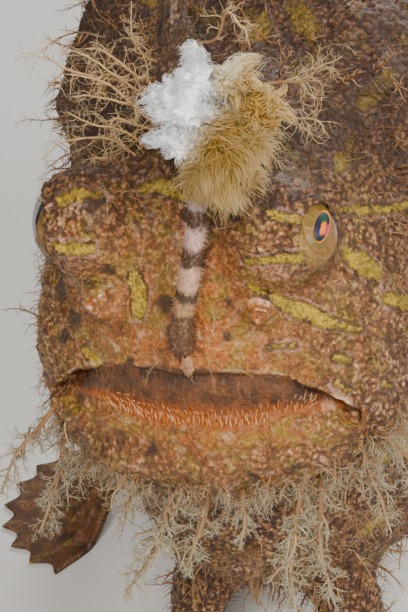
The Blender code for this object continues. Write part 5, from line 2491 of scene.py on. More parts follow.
@dataclass
class Eye:
    """One eye: a ball with a sunk iris under a clear dome."""

    side: int
    ball: float = 4.3
    iris_height: float = 3.0
    dome_height: float = 0.72
    pupil: float = 1.14
    pupil_step: float = 0.3
    bulge: float = 0.42
    cup: float = 0.18
    swing: float = 0.1
    lift: float = 0.4
    lean: float = 0.3
    widen: float = 0.6
    rough: float = 0.12
    sides: int = 96

    def profile(self) -> Points:
        """The outline of the ball, from its back over the sunk iris to the pupil's middle.

        Returns:
            Places along its axis and radii, n x 2.
        """
        rim = math.acos(self.iris_height / self.ball)
        back = np.linspace(math.pi - 0.02, rim, 26)
        sphere = np.stack([self.ball * np.cos(back), self.ball * np.sin(back)], 1)
        outer, inner = self.ball * math.sin(rim), self.pupil * 1.06
        share = np.linspace(1, 0, 14)[1:]
        rise = self.bulge * (1 - share) ** 1.5 - self.cup * np.sin(share * math.pi)
        iris = np.stack([self.iris_height + rise, inner + (outer - inner) * share], 1)
        lens = np.linspace(1, 0.004, 12)
        front = self.iris_height + self.pupil_step + self.bulge * np.sqrt(1 - lens**2)
        return np.vstack([sphere, iris, np.stack([front, self.pupil * lens], 1)])

    def build(self, ball_finish: bpy.types.Material, dome_finish: bpy.types.Material) -> None:
        """Makes the ball and its dome.

        Args:
            ball_finish: The material of iris and pupil.
            dome_finish: The clear one.
        """
        word = "left" if self.side > 0 else "right"
        centre, axis = eye_centre(self.side), unit(eye_axis(self.side) + (0, self.swing, self.lift))
        ball = lathe(centre, axis, self.profile(), self.sides)
        spot, lean = ball.values["spot"], self.lean * self.side
        near = step_up(ball.values["ring"], 3.0, self.pupil) * (ball.values["along"] > 0)
        shift = np.stack([self.widen * spot[:, 0] + lean * spot[:, 1], lean * spot[:, 0]], 1) * near[:, None]
        ball.points += shift[:, :1] * np.cross(upright(axis), axis) + shift[:, 1:] * upright(axis)
        rim = step_up(ball.values["ring"], 2.6, 3.4)
        ball.points -= axis * (self.rough * rim * (fractal(ball.points, 1.3, 4) + 1))[:, None]
        ball.values |= skin_values(ball.points) | {"rear": spot[:, 0] * self.side + 0.6 * spot[:, 1]}
        ball.piece("eyeball_" + word, ball_finish, "eye", "eye_" + word)
        cap = np.linspace(1.25, 0.004, 22)
        dome = np.stack([self.iris_height + (EYE_RADIUS * np.cos(cap) - self.iris_height) * self.dome_height,
                         EYE_RADIUS * np.sin(cap)], 1)
        lathe(centre, eye_axis(self.side), dome, self.sides).piece("eye_dome_" + word, dome_finish, "eye")


@dataclass
class Teeth:
    """The small close-set teeth on both jaws, seen in the open mouth."""

    arcs: tuple[Pixels, ...] = (
        ((102, 397), (130, 412), (166, 421), (204, 424), (240, 425), (286, 413), (316, 404)),
        ((110, 395), (136, 408), (170, 417), (206, 420), (242, 420), (284, 409), (314, 399)),
        ((120, 394), (146, 405), (180, 413), (210, 415), (244, 414), (280, 404), (308, 395)),
    )
    counts: tuple[int, ...] = (74, 60, 40)
    length: float = 0.85
    radius: float = 0.12
    seed: int = 12

    def build(self, finish: bpy.types.Material) -> None:
        """Sets every tooth in the lining of the mouth.

        Args:
            finish: Their material.
        """
        rng = np.random.default_rng(self.seed)
        parts = []
        for arc, count in zip(self.arcs, self.counts):
            pixels = curve_through(np.array([(x, y, 0) for x, y in arc]), count)[:, :2]
            roots = VIEW.on(FLESH.whole, pixels + rng.normal(0, 1.2, (count, 2)))
            out = slope(FLESH.whole, roots)
            ways = unit(out * 0.9 + np.array((0, 0.1, 0.75)) + rng.normal(0, 0.16, roots.shape))
            ground = Ground(roots, out, {"warm": rng.uniform(0, 1, count)})
            lengths = self.length * rng.uniform(0.6, 1.1, count)
            parts.append(Strands.grow(ground, ways, lengths, self.radius, rng, 5, 0.0, 0.05, sink=0.35))
        together(parts, 7).piece("teeth", finish, "skin", "head")


@dataclass
class Nostrils:
    """The two flared tubes over the mouth."""

    height: float = 0.95
    bore: float = 0.62
    flare: float = 0.88
    wobble: float = 0.1
    sunk: float = 0.9
    root: float = 1.5
    waist: float = 0.62
    lip: float = 0.1

    def profile(self) -> Points:
        """The outline of a tube, from its foot over its rim and into its bore.

        Returns:
            Places along its axis and radii, n x 2.
        """
        t, turn = np.linspace(0, 1, 14), np.linspace(0.2, math.pi - 0.1, 8)
        neck = self.root - self.waist * np.sin(math.pi * t * 0.62) + 0.2 * t**4
        top = self.height - 0.7 + self.lip * np.sin(turn)
        hole = self.bore + 0.18 * (1 - t) ** 2 - 0.55 * t**3
        return np.vstack([np.stack([-self.sunk + (self.height + 0.2) * t, neck], 1),
                          np.stack([top, self.flare - self.lip + self.lip * np.cos(turn)], 1),
                          np.stack([self.height - 0.75 - 0.5 * t, hole], 1)])

    def build(self, finish: bpy.types.Material) -> None:
        """Makes both tubes.

        Args:
            finish: Their material.
        """
        for side, word in ((1, "left"), (-1, "right")):
            place = FLESH.beyond(np.array(FLESH.nostril) * (side, 1, 1), FLESH.whole)[0]
            out = unit(slope(FLESH.plain, place[None])[0] + np.array((0, 0, 0.15)))
            made = lathe(place, out, self.profile(), 40)
            turned = np.arctan2(made.values["spoke"][:, 1], made.values["spoke"][:, 0])
            wobble = 1 + self.wobble * np.sin(3 * turned + side)
            flat = made.points - place - ((made.points - place) @ out)[:, None] * out
            made.points += flat * (wobble - 1)[:, None]
            made.values |= skin_values(made.points)
            made.piece("nostril_" + word, finish, "skin", "head")


# The lure


def ball_lattice(count: int) -> tuple[Points, Points]:
    """Evenly spread directions and the triangles between them.

    Args:
        count: Squares along each side of the cube that is blown up to the ball.

    Returns:
        Unit directions and triangles.
    """
    return Skin(cells=count, gaze=(0, 0, 0)).lattice()


@dataclass
class Lobe:
    """A lumpy soft lobe of the lure's tuft."""

    centre: Place
    radii: Place
    lump: float
    lump_size: float
    cells: int = 30
    more: int = 0

    def shell(self) -> Roots:
        """The lobe's surface.

        Returns:
            Ground that strands can grow from.
        """
        ways, triangles = ball_lattice(self.cells)
        points = ways * self.radii
        rise = self.lump * (fractal(points + self.centre, self.lump_size, 4)
                            + 0.8 * cells(points + np.array(self.centre), self.lump_size * 0.62) - 0.4)
        points = points * (1 + rise / np.linalg.norm(points, axis=1))[:, None] + self.centre
        out = unit(ways / np.array(self.radii))
        return Roots(Shell(points, triangles, {"place": points, "pale": 0 * rise}), out)


@dataclass(frozen=True)
class Hairs:
    """One lot of the tuft's hairs: how many on a lobe, how long and thick, and which way they lean."""

    count: int
    length: tuple[float, float]
    radius: float
    lean: Place
    pale: tuple[float, float]
    wave: float


@dataclass
class Lure:
    """The fishing rod on the snout with its banded stalk and its pale tuft."""

    stalk: tuple[Place, ...] = (
        (0.6, -57.2, 65.8), (0.6, -58.5, 67.2), (1.0, -61.6, 70.5), (2.6, -61.8, 77.5), (4.0, -61.4, 85.0),
        (4.4, -61.6, 88.5))
    radii: tuple[float, ...] = (1.5, 1.35, 1.2, 1.0, 0.9, 0.8)
    rows: int = 120
    sides: int = 36
    core: Place = (6.0, -62.0, 93.6)
    reach: Place = (8.8, 7.0, 10.0)
    pad: tuple[float, float] = (187.0, 366.0)
    white: tuple[Lobe, ...] = (
        Lobe((3.7, -62.1, 95.6), (2.6, 2.5, 2.6), 1.2, 1.9, more=1000),
        Lobe((5.0, -61.8, 98.2), (1.7, 1.6, 1.6), 1.0, 1.4, 24),
        Lobe((5.2, -61.5, 100.6), (0.6, 0.6, 1.4), 0.5, 0.9, 18),
        Lobe((2.3, -62.2, 92.8), (1.6, 1.5, 1.1), 0.8, 1.2, 20),
        Lobe((1.5, -61.9, 96.8), (1.2, 1.1, 0.9), 0.7, 1.0, 18),
        Lobe((4.3, -62.7, 92.6), (1.7, 1.5, 1.9), 0.9, 1.2, 20),
    )
    straw: tuple[Lobe, ...] = (
        Lobe((7.7, -62.0, 91.8), (2.6, 2.5, 2.8), 1.3, 1.7),
        Lobe((6.2, -62.5, 89.6), (1.8, 1.7, 1.8), 0.8, 1.3, 20),
    )
    crown: tuple[Lobe, ...] = (
        Lobe((9.0, -61.5, 98.6), (1.9, 1.5, 1.4), 0.9, 1.2, 20),
        Lobe((11.2, -61.3, 95.6), (1.8, 1.5, 1.7), 0.9, 1.2, 20),
    )
    lots: dict[str, tuple[Hairs, ...]] = field(default_factory=lambda: {
        "white": (Hairs(400, (0.4, 1.5), 0.05, (-0.1, 0, 0.2), (0.0, 0.3), 0.5),
                  Hairs(50, (1.0, 2.6), 0.05, (-0.3, 0, 0.3), (0.0, 0.2), 0.4)),
        "straw": (Hairs(1800, (0.6, 5.2), 0.045, (0.25, -0.1, -0.8), (0.05, 0.7), 0.2),
                  Hairs(650, (0.8, 4.8), 0.045, (0.9, -0.2, -0.3), (0.1, 0.8), 0.26)),
        "crown": (Hairs(500, (0.7, 2.6), 0.06, (0.5, 0, 0.3), (0.5, 1.0), 0.3),)})
    rings: float = 62.0
    ring_height: float = 0.05
    rough: float = 0.16
    fuzz: int = 1500
    seed: int = 21

    def within(self, strands: Strands) -> Strands:
        """Draws strands in where they pass the solid tuft's reach.

        Args:
            strands: The strands.

        Returns:
            The same strands.
        """
        offset = (strands.lines - self.core) / self.reach
        far = np.linalg.norm(offset, axis=2)
        squeezed = np.where(far > 0.9, 0.9 + 0.3 * np.tanh((far - 0.9) / 0.3), far)
        scale = (squeezed / np.maximum(far, 1e-6))[..., None]
        strands.lines = np.array(self.core) + offset * scale * self.reach
        return strands

    def hairs(self, lobe: Roots, lot: Hairs, count: int, rng: np.random.Generator) -> Strands:
        """The fine hairs over one lobe.

        Args:
            lobe: Its surface.
            lot: What they are like.
            count: How many.
            rng: The source of chance.

        Returns:
            The hairs.
        """
        ground = lobe.scatter(count, evenly, rng)
        ways = unit(ground.out + np.array(lot.lean) + rng.normal(0, 0.45, ground.out.shape))
        ground.values = {"place": ground.places}
        lengths = lot.length[0] + (lot.length[1] - lot.length[0]) * rng.beta(1.2, 1.9, count)
        ground.uvs = unwrap(ground.places) * 0.2 + 0.79
        made = Strands.grow(ground, ways, lengths, lot.radius, rng, 5, 0.12, lot.wave, 1.4, 0.2, lot.pale)
        return self.within(made.clump(max(count // 26, 4), 0.72, rng))

    def rod(self, finish: bpy.types.Material) -> Roots:
        """Makes the stalk and the pad at its foot.

        Args:
            finish: The banded material.

        Returns:
            The stalk as ground that strands can grow from.
        """
        share = np.linspace(0, 1, self.rows)
        path = curve_through(np.array(self.stalk), self.rows)
        sizes = np.interp(share, np.linspace(0, 1, len(self.radii)), self.radii)
        shell = tube(path, sizes * (1 + self.ring_height * np.sin(share * self.rings)), self.sides)
        middle = np.vstack([np.repeat(path, self.sides, axis=0), path[0], path[-1]])
        out = unit(shell.points - middle + 1e-6)
        shell.points += self.rough * fractal(shell.points, 0.9, 3)[:, None] * out
        shell.values["place"] = shell.points
        shell.piece("lure_rod", finish, "stalk", "lure_stalk")
        foot = VIEW.on(FLESH.whole, np.array(self.pad))[0] + VIEW.axes()[2] * 0.25
        pad = Lobe(tuple(foot), (0.7, 0.4, 1.25), 0.3, 0.8, 14).shell().shell
        pad.values["along"] = 0 * pad.values["pale"]
        pad.piece("rod_pad", finish, "stalk", "lure_stalk")
        return Roots(shell, unit(shell.points - middle + 1e-6))

    def build(self, banded: bpy.types.Material, white: bpy.types.Material, straw: bpy.types.Material) -> None:
        """Makes the stalk, the lobes and their hairs.

        Args:
            banded: The stalk's material.
            white: The white lobes' material.
            straw: The straw-coloured lobes' material.
        """
        rng = np.random.default_rng(self.seed)
        rod = self.rod(banded)
        grown: dict[str, list[Strands]] = {"white_hairs": [], "straw_hairs": []}
        for name, lobes, finish, hairs in (("white", self.white, white, "white_hairs"),
                                           ("straw", self.straw, straw, "straw_hairs"),
                                           ("crown", self.crown, straw, "straw_hairs")):
            for number, lobe in enumerate(lobes):
                made = lobe.shell()
                made.shell.piece(f"{name}_lobe_{number}", finish, "lure", "lure_tuft")
                for order, lot in enumerate(self.lots[name]):
                    count = lot.count + (lobe.more if order == 0 else 0)
                    grown[hairs].append(self.hairs(made, lot, count, rng))
        for name, finish in (("white_hairs", white), ("straw_hairs", straw)):
            together(grown[name]).piece(name, finish, "lure", "lure_tuft")
        ground = rod.scatter(self.fuzz, evenly, rng)
        ground.keep("place", "along")
        ways = unit(ground.out + rng.normal(0, 0.6, ground.out.shape))
        lengths = rng.uniform(0.2, 0.75, self.fuzz)
        fuzz = Strands.grow(ground, ways, lengths, 0.045, rng, 4, 0.2, 0.25, sink=0.1)
        together([fuzz]).piece("rod_fuzz", banded, "stalk", "lure_stalk")


# The shaggy coat


def clear_of_eyes(places: Points, gap: float) -> Points:
    """1 where places are farther than a gap from both eyes' middles, else 0."""
    near = [np.linalg.norm(places - eye_centre(side), axis=1) for side in (-1, 1)]
    return (np.minimum(*near) > gap).astype(float)


def face_share(places: Points) -> Points:
    """How much places belong to the face: 1 at its front, 0 from the gills back."""
    return step_up(-places[:, 1], 36, 50)


@dataclass(frozen=True)
class Layer:
    """One lot of the coat's strands."""

    name: str
    count: int
    where: Callable[[dict[str, Points]], Points]
    length: tuple[float, float]
    radius: float
    out: float = 0.7
    scatter: float = 0.35
    droop: float = 0.25
    wave: float = 0.14
    rows: int = 5
    pale: tuple[float, float] = (0.0, 0.6)
    twigs: int = 0
    twig_reach: float = 0.3
    locks: int = 0


def on_body(values: dict[str, Points]) -> Points:
    """The wanted share of strands on the body behind the face.

    Args:
        values: The skin's values.

    Returns:
        The share at each place.
    """
    places = values["place"]
    tufted = 0.35 + 0.65 * step_up(fractal(places, 5.0, 2), -0.2, 0.35)
    return (1 - face_share(places)) * tufted * clear_of_eyes(places, 6.4) * step_up(places[:, 2], 6, 16)


def on_face(values: dict[str, Points]) -> Points:
    """The wanted share of strands on the face, away from mouth and eyes.

    Args:
        values: The skin's values.

    Returns:
        The share at each place.
    """
    places = values["place"]
    dry = (1 - values["wet"]) * (1 - np.clip(values["lip"], 0, 1))
    patchy = step_up(fractal(places, 3.2, 2), -0.15, 0.5)
    return face_share(places) * dry * clear_of_eyes(places, 6.0) * patchy * (values["wet"] < 0.05)


def on_face_edge(values: dict[str, Points]) -> Points:
    """The wanted share of strands at the face's rim, the cheeks and the chin.

    Args:
        values: The skin's values.

    Returns:
        The share at each place.
    """
    places = values["place"]
    rim = 0.12 + step_up(np.abs(places[:, 0]), 12, 19) + step_up(56 - places[:, 2], 2, 7)
    return on_face(values) * rim


@dataclass
class Coat:
    """The filaments all over the fish, short and fine on the face and longer on the body."""

    seed: int = 31
    lay: Place = (0.0, 0.75, -0.25)
    layers: tuple[Layer, ...] = (
        Layer("coat_body", 6600, on_body, (1.2, 3.5), 0.085, pale=(0.0, 0.5), locks=900),
        Layer("coat_down", 5800, on_body, (0.5, 1.2), 0.055, 0.8, 0.5, 0.1, rows=4, pale=(0.0, 0.4)),
        Layer("coat_long", 700, on_body, (3.4, 8.5), 0.13, 0.75, 0.3, 0.3, 0.16, 8, (0.0, 0.7), 9),
        Layer("coat_face", 7000, on_face, (0.35, 1.0), 0.045, 0.75, 0.55, 0.1, 0.2, 4, (0.05, 0.5)),
        Layer("coat_face_long", 560, on_face_edge, (1.2, 3.4), 0.055, 0.8, 0.45, 0.3, 0.22, 7, (0.1, 0.7), 5),
    )

    def grow(self, layer: Layer, roots: Roots, rng: np.random.Generator) -> Shell:
        """Grows one layer.

        Args:
            layer: What to grow.
            roots: The skin.
            rng: The source of chance.

        Returns:
            The strands as one shell.
        """
        ground = roots.scatter(layer.count, layer.where, rng)
        ground.keep("place", "mark", "warmth", "grain", "tint")
        lay = np.array(self.lay) - ground.out * (ground.out @ self.lay)[:, None]
        ways = unit(ground.out * layer.out + lay * (1 - layer.out) * 1.6
                    + rng.normal(0, layer.scatter, ground.out.shape))
        lengths = layer.length[0] + (layer.length[1] - layer.length[0]) * rng.beta(1.6, 2.6, layer.count)
        strands = Strands.grow(ground, ways, lengths, layer.radius * rng.uniform(0.75, 1.3, layer.count), rng,
                               layer.rows, layer.droop, layer.wave, 1.2, 0.3, layer.pale)
        if layer.locks:
            strands.clump(layer.locks, 0.5, rng)
        parts = [strands]
        if layer.twigs:
            parts.append(strands.branch(layer.twigs, layer.twig_reach, 0.7, rng))
        return together(parts)

    def build(self, roots: Roots, finish: bpy.types.Material) -> None:
        """Grows every layer as a piece.

        Args:
            roots: The skin.
            finish: The coat's material.
        """
        rng = np.random.default_rng(self.seed)
        for layer in self.layers:
            self.grow(layer, roots, rng).piece(layer.name, finish, "skin", "head", "torso")


def combed(roots: Points, tips: Points, radii: Points, rng: np.random.Generator, rows: int = 12,
           bow: float = 0.12) -> Strands:
    """Stems between given ends, each a little bowed.

    Args:
        roots: Where they start, n x 3.
        tips: Where they end, n x 3.
        radii: Their radii at the root.
        rng: The source of chance.
        rows: Places along a stem.
        bow: How far a stem bows, as a share of its length.

    Returns:
        The stems.
    """
    count = len(roots)
    t = np.linspace(0, 1, rows)[None, :, None]
    span = (tips - roots)[:, None]
    length = np.linalg.norm(span, axis=2, keepdims=True)
    side = unit(np.cross(span, rng.normal(size=span.shape)))
    lines = roots[:, None] + span * t + side * length * bow * np.sin(math.pi * t)
    lines = lines + np.cross(side, unit(span)) * length * bow * 0.35 * np.sin(2.6 * math.pi * t)
    lines[..., 2] = np.maximum(lines[..., 2], floor_height() + 0.5)
    thick = np.asarray(radii)[:, None] * ((1 - t[:, :, 0]) ** 0.7 * 0.78 + 0.22)
    pale = np.broadcast_to(0.25 + 0.45 * t[:, :, 0], (count, rows)).copy()
    return Strands(lines, thick, pale, skin_values(roots), unwrap(roots))


@dataclass
class Beard:
    """The branching flaps that hang from the lower jaw, the cheeks and the throat."""

    combs: tuple[tuple[Place, Place, float, int, float], ...] = (
        ((-1.8, -58, 50.6), (-9.9, -58.5, 33.6), 0.52, 30, 0.19),
        ((1.4, -58, 50.5), (-2.8, -58, 38.0), 0.42, 20, 0.2),
        ((11.0, -54.5, 49.6), (9.6, -56, 32.0), 0.5, 30, 0.18),
        ((12.9, -54.0, 49.8), (14.2, -55.5, 33.4), 0.45, 26, 0.19),
        ((-17.2, -50, 55.6), (-27.6, -51.5, 42.0), 0.4, 26, 0.2),
        ((-16.6, -50, 53.4), (-22.6, -53, 37.6), 0.4, 26, 0.2),
        ((-6.2, -57.6, 51.2), (-9.8, -59, 43.5), 0.34, 14, 0.26),
        ((5.2, -57.8, 50.2), (4.6, -59, 42.5), 0.34, 14, 0.26),
        ((17.2, -50.5, 51.5), (20.6, -52.5, 42.5), 0.38, 16, 0.25),
        ((18.4, -46.5, 52.5), (25.0, -47.5, 41.0), 0.38, 18, 0.24),
    )
    fringe: int = 230
    fringe_length: tuple[float, float] = (1.2, 5.0)
    fringe_height: tuple[float, float] = (51.0, 2.6)
    fringe_top: float = 54.5
    jaw_middle: float = -40.0
    jaw_half_width: float = 19.0
    jaw_depth: float = 15.0
    cheek_rise: float = 3.5
    seed: int = 41

    def stems(self, rng: np.random.Generator) -> list[Strands]:
        """The long combs with their branches and twigs.

        Args:
            rng: The source of chance.

        Returns:
            Stems, branches and twigs.
        """
        parts = []
        for root, tip, radius, branches, reach in self.combs:
            start = FLESH.beyond(np.array(root))
            stem = combed(start - (0, -radius * 0.5, 0), np.array([tip]), np.array([radius]), rng, 18, 0.05)
            side = stem.branch(branches, reach, 0.55, rng, 8, (0.12, 0.99), 1.0, (0.4, 0.75), 0.12, 0.2)
            twig = side.branch(6, 0.42, 0.62, rng, 5, (0.15, 0.98), 1.0, (0.6, 1.0), 0.1, 0.2)
            parts += [stem, side, twig, twig.branch(3, 0.5, 0.7, rng, 4)]
        return parts

    def skirt(self, rng: np.random.Generator) -> list[Strands]:
        """The short dense fringe round the chin and the cheeks.

        Args:
            rng: The source of chance.

        Returns:
            Stems, branches and twigs.
        """
        turn = np.radians(rng.uniform(-100, 100, self.fringe))
        height = np.minimum(rng.normal(*self.fringe_height, self.fringe), self.fringe_top)
        ahead = self.jaw_middle - self.jaw_depth * np.cos(turn)
        spot = np.stack([self.jaw_half_width * np.sin(turn), ahead, height], 1)
        spot[:, 2] += self.cheek_rise * np.abs(np.sin(turn)) ** 3
        start = FLESH.beyond(spot)
        out = slope(FLESH.plain, start)
        ways = unit(out * 0.75 + np.array((0, -0.1, -0.75)) + rng.normal(0, 0.3, start.shape))
        ground = Ground(start, out, skin_values(start))
        lengths = self.fringe_length[0] + np.diff(self.fringe_length)[0] * rng.beta(1.4, 2.4, self.fringe)
        stem = Strands.grow(ground, ways, lengths, 0.12, rng, 9, 0.3, 0.22, 1.6, 0.4, (0.0, 0.75))
        side = stem.branch(9, 0.34, 0.6, rng, 5, (0.1, 0.98), 1.0, (0.3, 0.9))
        return [stem, side, side.branch(2, 0.5, 0.7, rng, 4, pale=(0.5, 1.0))]

    def build(self, finish: bpy.types.Material) -> None:
        """Makes the beard.

        Args:
            finish: Its material.
        """
        rng = np.random.default_rng(self.seed)
        together(self.stems(rng)).piece("beard", finish, "skin", "lower_jaw")
        together(self.skirt(rng)).piece("chin_fringe", finish, "skin", "lower_jaw")


@dataclass
class Plume:
    """The branching filaments of the free second spine and those that drift before the face."""

    paths: tuple[Pixels, ...] = (
        ((152, 98), (115, 75), (90, 57), (61, 47)),
        ((120, 80), (70, 70), (48, 56), (20, 50)),
        ((150, 84), (120, 62), (104, 50), (86, 48)),
        ((156, 124), (110, 86), (62, 76)),
        ((156, 168), (112, 140), (68, 142), (42, 162)),
        ((156, 130), (115, 120), (112, 135), (122, 150)),
        ((152, 166), (100, 158), (93, 165), (105, 205)),
        ((150, 60), (133, 40), (131, 4)),
        ((158, 90), (149, 78), (148, 52)),
        ((214, 40), (227, 10), (243, 23), (252, 39)),
        ((270, 84), (305, 83), (317, 73), (342, 64)),
        ((262, 108), (292, 117), (308, 117), (318, 131)),
        ((252, 140), (272, 156), (291, 181)),
        ((152, 112), (128, 104), (96, 96), (70, 98)),
        ((154, 150), (130, 132), (96, 122), (74, 112)),
    )
    root_y: float = -50.6
    tip_y: float = -53.0
    radius: float = 0.24
    rows: int = 22
    seed: int = 51

    def stems(self, rng: np.random.Generator) -> list[Strands]:
        """The filaments as the photograph shows them, rooted in the spine.

        Args:
            rng: The source of chance.

        Returns:
            Stems and their twigs.
        """
        spine = BRANCHES["second_spine"].line(30)[4:-2]
        share = np.linspace(0, 1, self.rows)
        thick = self.radius * ((1 - share) ** 0.8 * 0.8 + 0.2)
        pale = np.linspace(0.2, 0.95, self.rows)
        parts = []
        for path in self.paths:
            depth = np.linspace(self.root_y, self.tip_y, len(path))
            knots = VIEW.at_depth(np.array(path), depth)
            root = spine[[np.argmin(np.linalg.norm(spine - knots[0], axis=1))]]
            line = curve_through(np.vstack([root, knots]), self.rows)
            wobble = 0.25 * rng.normal(size=line.shape).cumsum(axis=0) * share[:, None] * 0.3
            stem = Strands((line + wobble)[None], thick[None], pale[None], skin_values(root), unwrap(root))
            side = stem.branch(22, 0.17, 0.42, rng, 6, (0.3, 0.99), 1.0, (0.6, 1.0), 0.1, 0.3)
            parts += [stem, side, side.branch(4, 0.45, 0.7, rng, 4)]
        return parts

    def build(self, finish: bpy.types.Material) -> None:
        """Makes the plume.

        Args:
            finish: Its material.
        """
        rng = np.random.default_rng(self.seed)
        together(self.stems(rng)).piece("spine_plume", finish, "skin", "second_spine")


@dataclass
class Threads:
    """Single pale threads over the face, each lifted from the skin between its ends."""

    paths: tuple[Pixels, ...] = (
        ((144, 229), (145, 250), (138, 271), (137, 292)), ((167, 241), (172, 262), (180, 290)),
        ((150, 309), (155, 288), (169, 264), (184, 262)), ((96, 180), (104, 193), (101, 227)),
        ((94, 184), (104, 196), (113, 208)), ((92, 298), (95, 288), (103, 281), (114, 279)),
        ((170, 343), (165, 358), (157, 383)), ((128, 196), (146, 206), (154, 210)),
        ((112, 191), (126, 200), (140, 207)), ((151, 300), (160, 284), (166, 272)),
        ((176, 330), (168, 322), (160, 326)), ((213, 300), (219, 316), (216, 334)),
        ((136, 300), (134, 320), (140, 336)), ((118, 222), (126, 228), (134, 226)),
        ((205, 352), (214, 360), (222, 374)), ((300, 262), (290, 268), (284, 276)),
        ((232, 372), (240, 366), (250, 369)), ((192, 366), (190, 374), (194, 384)),
        ((228, 196), (236, 206), (248, 208)), ((300, 92), (322, 100), (338, 96)),
        ((330, 44), (344, 52), (352, 68)),
    )
    lift: float = 0.9
    radius: float = 0.045
    rows: int = 16
    seed: int = 71

    def build(self, finish: bpy.types.Material) -> None:
        """Makes the threads.

        Args:
            finish: Their material.
        """
        rng = np.random.default_rng(self.seed)
        share = np.linspace(0, 1, self.rows)
        parts = []
        for path in self.paths:
            laid = VIEW.on(FLESH.plain, np.array(path))
            out = slope(FLESH.plain, laid)
            rise = self.lift * np.append(np.linspace(0.2, 1.0, len(path) - 1), 1.3)
            lifted = laid + out * rise[:, None] * np.linspace(0, 1, len(path))[:, None] ** 0.5
            line = curve_through(lifted, self.rows)
            line = line + 0.16 * rng.normal(size=line.shape).cumsum(axis=0) * share[:, None] ** 0.5
            thick, pale = self.radius * (1 - 0.6 * share), np.linspace(0.5, 1, self.rows)
            thread = Strands(line[None], thick[None], pale[None], skin_values(laid[:1]), unwrap(laid[:1]))
            parts += [thread, thread.branch(6, 0.14, 0.6, rng, 4)]
        together(parts).piece("face_threads", finish, "skin", "head")


@dataclass
class Fuzz:
    """The fine strands on the fins' rays and along their edges."""

    seed: int = 61
    counts: dict[str, int] = field(default_factory=lambda: {
        "dorsal_web": 1200, "anal_web": 420, "tail_web": 800, "hand_left": 460, "hand_right": 460,
        "foot_left": 120, "foot_right": 120})
    fringes: dict[str, int] = field(default_factory=lambda: {
        "dorsal_web": 260, "anal_web": 110, "tail_web": 200})

    def build(self, fins: dict[str, Roots], finish: bpy.types.Material) -> None:
        """Grows the fins' strands, most of them on the rays.

        Args:
            fins: The fins by name.
            finish: The coat's material.
        """
        rng = np.random.default_rng(self.seed)
        parts = []
        for name, count in self.counts.items():
            ground = self.ground(fins[name], count, self.on_rays, rng)
            ways = unit(ground.out * 0.7 + rng.normal(0, 0.4, ground.out.shape) + (0, 0.35, 0))
            small = 0.5 if name.startswith(("hand", "foot")) else 1.0
            lengths = rng.uniform(0.7, 2.4, count) * small
            parts.append(Strands.grow(ground, ways, lengths, 0.075, rng, 4, 0.15, 0.15, pale=(0.1, 0.6)))
        for name, count in self.fringes.items():
            ground = self.ground(fins[name], count, self.at_tips, rng)
            away = unit(ground.places - (0, 20, 60)) * (0.2, 1, 1)
            ways = unit(away + rng.normal(0, 0.35, ground.out.shape))
            lengths = rng.uniform(0.8, 2.6, count)
            tips = Strands.grow(ground, ways, lengths, 0.085, rng, 5, 0.1, 0.2, pale=(0.0, 0.6))
            parts += [tips, tips.branch(2, 0.4, 0.7, rng, 4)]
        together(parts).piece("fin_fuzz", finish, "fin", "dorsal_fin")

    @staticmethod
    def ground(fin: Roots, count: int, density: Callable[[dict[str, Points]], Points],
               rng: np.random.Generator) -> Ground:
        """Places on a fin, with the values that the coat's finish reads.

        Args:
            fin: The fin.
            count: How many.
            density: Gives the wanted share of places.
            rng: The source of chance.

        Returns:
            The places.
        """
        ground = fin.scatter(count, density, rng)
        ground.keep("place", "mark", "warmth", "grain")
        ground.values["tint"] = np.zeros((count, len(Tone)))
        return ground

    @staticmethod
    def on_rays(values: dict[str, Points]) -> Points:
        """The wanted share of strands on a fin: its rays, from their roots to near their tips."""
        low = step_up(values["place"][:, 2], 1.5, 4)
        return (0.08 + values["ray"] ** 2) * (1 - 0.6 * values["share"]) * low

    @staticmethod
    def at_tips(values: dict[str, Points]) -> Points:
        """The wanted share of filaments along a fin's edge, most of them at the rays' tips."""
        return step_up(values["share"], 0.84, 0.96) * (0.12 + values["ray"] ** 2)


# The studio


LIT_PLACE = (0, -40, 70)


@dataclass(frozen=True)
class Lamp:
    """One soft area light that faces the fish."""

    name: str
    azimuth: float
    elevation: float
    distance: float
    size: float
    power: float
    colour: tuple[float, float, float] = (1.0, 1.0, 1.0)

    def build(self) -> bpy.types.Object:
        """Makes the lamp.

        Returns:
            Its object.
        """
        data = bpy.data.lights.new(self.name, "AREA")
        data.shape, data.size, data.energy, data.color = "DISK", self.size, self.power, self.colour
        made = bpy.data.objects.new(self.name, data)
        bpy.context.scene.collection.objects.link(made)
        a, e = math.radians(self.azimuth), math.radians(self.elevation)
        back = Vector((math.sin(a) * math.cos(e), -math.cos(a) * math.cos(e), math.sin(e)))
        target = Vector(((SHIFT + LIT_PLACE) * MM).tolist())
        made.location = target + back * self.distance
        made.rotation_mode = "QUATERNION"
        made.rotation_quaternion = back.to_track_quat("Z", "Y")
        return made


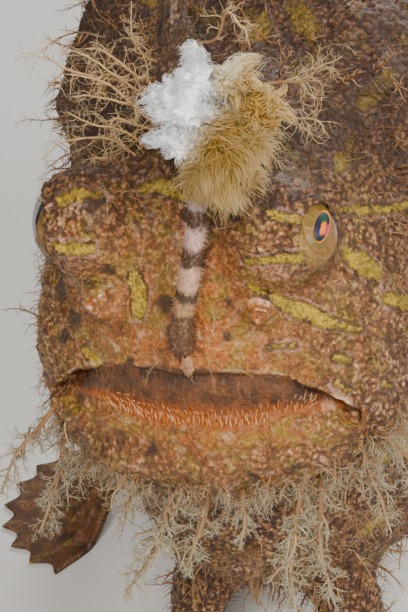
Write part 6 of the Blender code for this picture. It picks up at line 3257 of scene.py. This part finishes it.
@dataclass(frozen=True)
class Studio:
    """A pale floor, soft light and an even grey surround."""

    lamps: tuple[Lamp, ...] = (
        Lamp("key", 12, 36, 0.75, 0.2, 6.6, (1.0, 0.94, 0.86)),
        Lamp("fill", 60, 32, 0.8, 0.3, 6.0, (1.0, 0.96, 0.9)),
        Lamp("rim", 168, 34, 0.9, 0.5, 6.0, (1.0, 0.97, 0.93)),
    )
    floor_size: float = 3.0
    surround: Colour = (0.78, 0.8, 0.82, 1.0)
    strength: float = 0.24

    def build(self) -> None:
        """Makes the floor, the lamps and the surround."""
        mesh = bpy.data.meshes.new("floor")
        half = self.floor_size / 2
        corners = [(-half, -half, 0), (half, -half, 0), (half, half, 0), (-half, half, 0)]
        mesh.from_pydata(corners, [], [(0, 1, 2, 3)])
        floor = bpy.data.objects.new("floor", mesh)
        bpy.context.scene.collection.objects.link(floor)
        made, tree, shader = new_material("floor")
        tree.fill(shader, Base_Color=srgb(214, 213, 210), Roughness=0.8)
        mesh.materials.append(made)
        for lamp in self.lamps:
            lamp.build()
        world = bpy.data.worlds.new("surround")
        world.use_nodes = True
        back = world.node_tree.nodes["Background"]
        back.inputs["Color"].default_value = self.surround
        back.inputs["Strength"].default_value = self.strength
        bpy.context.scene.world = world


def main() -> None:
    """Builds the fish's looks, the studio and the camera."""
    logging.basicConfig(level=logging.INFO, format="%(name)s %(message)s")
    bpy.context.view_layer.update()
    paint = MarkingPaint()
    skin = Skin().build(SkinFinish(paint).build())
    fins = Fins().build(FinFinish(paint).build())
    coat = StrandFinish(paint, tip=Palette.TAN, stem=Palette.RUST).build()
    Coat().build(skin, coat)
    Fuzz().build(fins, coat)
    Beard().build(StrandFinish(paint, "beard", Palette.GREY, Palette.TAN).build())
    plume = StrandFinish(paint, "plume", Palette.BUFF, Palette.TAN).build()
    Plume().build(plume)
    Threads().build(plume)
    eye, dome = EyeFinish(paint).build(), DomeFinish().build()
    for side in (1, -1):
        Eye(side).build(eye, dome)
    Teeth().build(ToothFinish().build())
    Nostrils().build(NostrilFinish(paint).build())
    white = TuftFinish("white tuft", srgb(240, 244, 248), srgb(252, 253, 254), srgb(216, 208, 160), 0.3,
                       srgb(222, 200, 116), (-51.5, -48.5)).build()
    straw = TuftFinish("straw tuft", srgb(140, 100, 16), srgb(204, 164, 78), srgb(88, 68, 8), 0.65,
                       srgb(240, 232, 190), (-48.5, -51.0)).build()
    Lure().build(StalkFinish().build(), white, straw)
    Studio().build()
    VIEW.build()


if __name__ == "__main__":
    main()
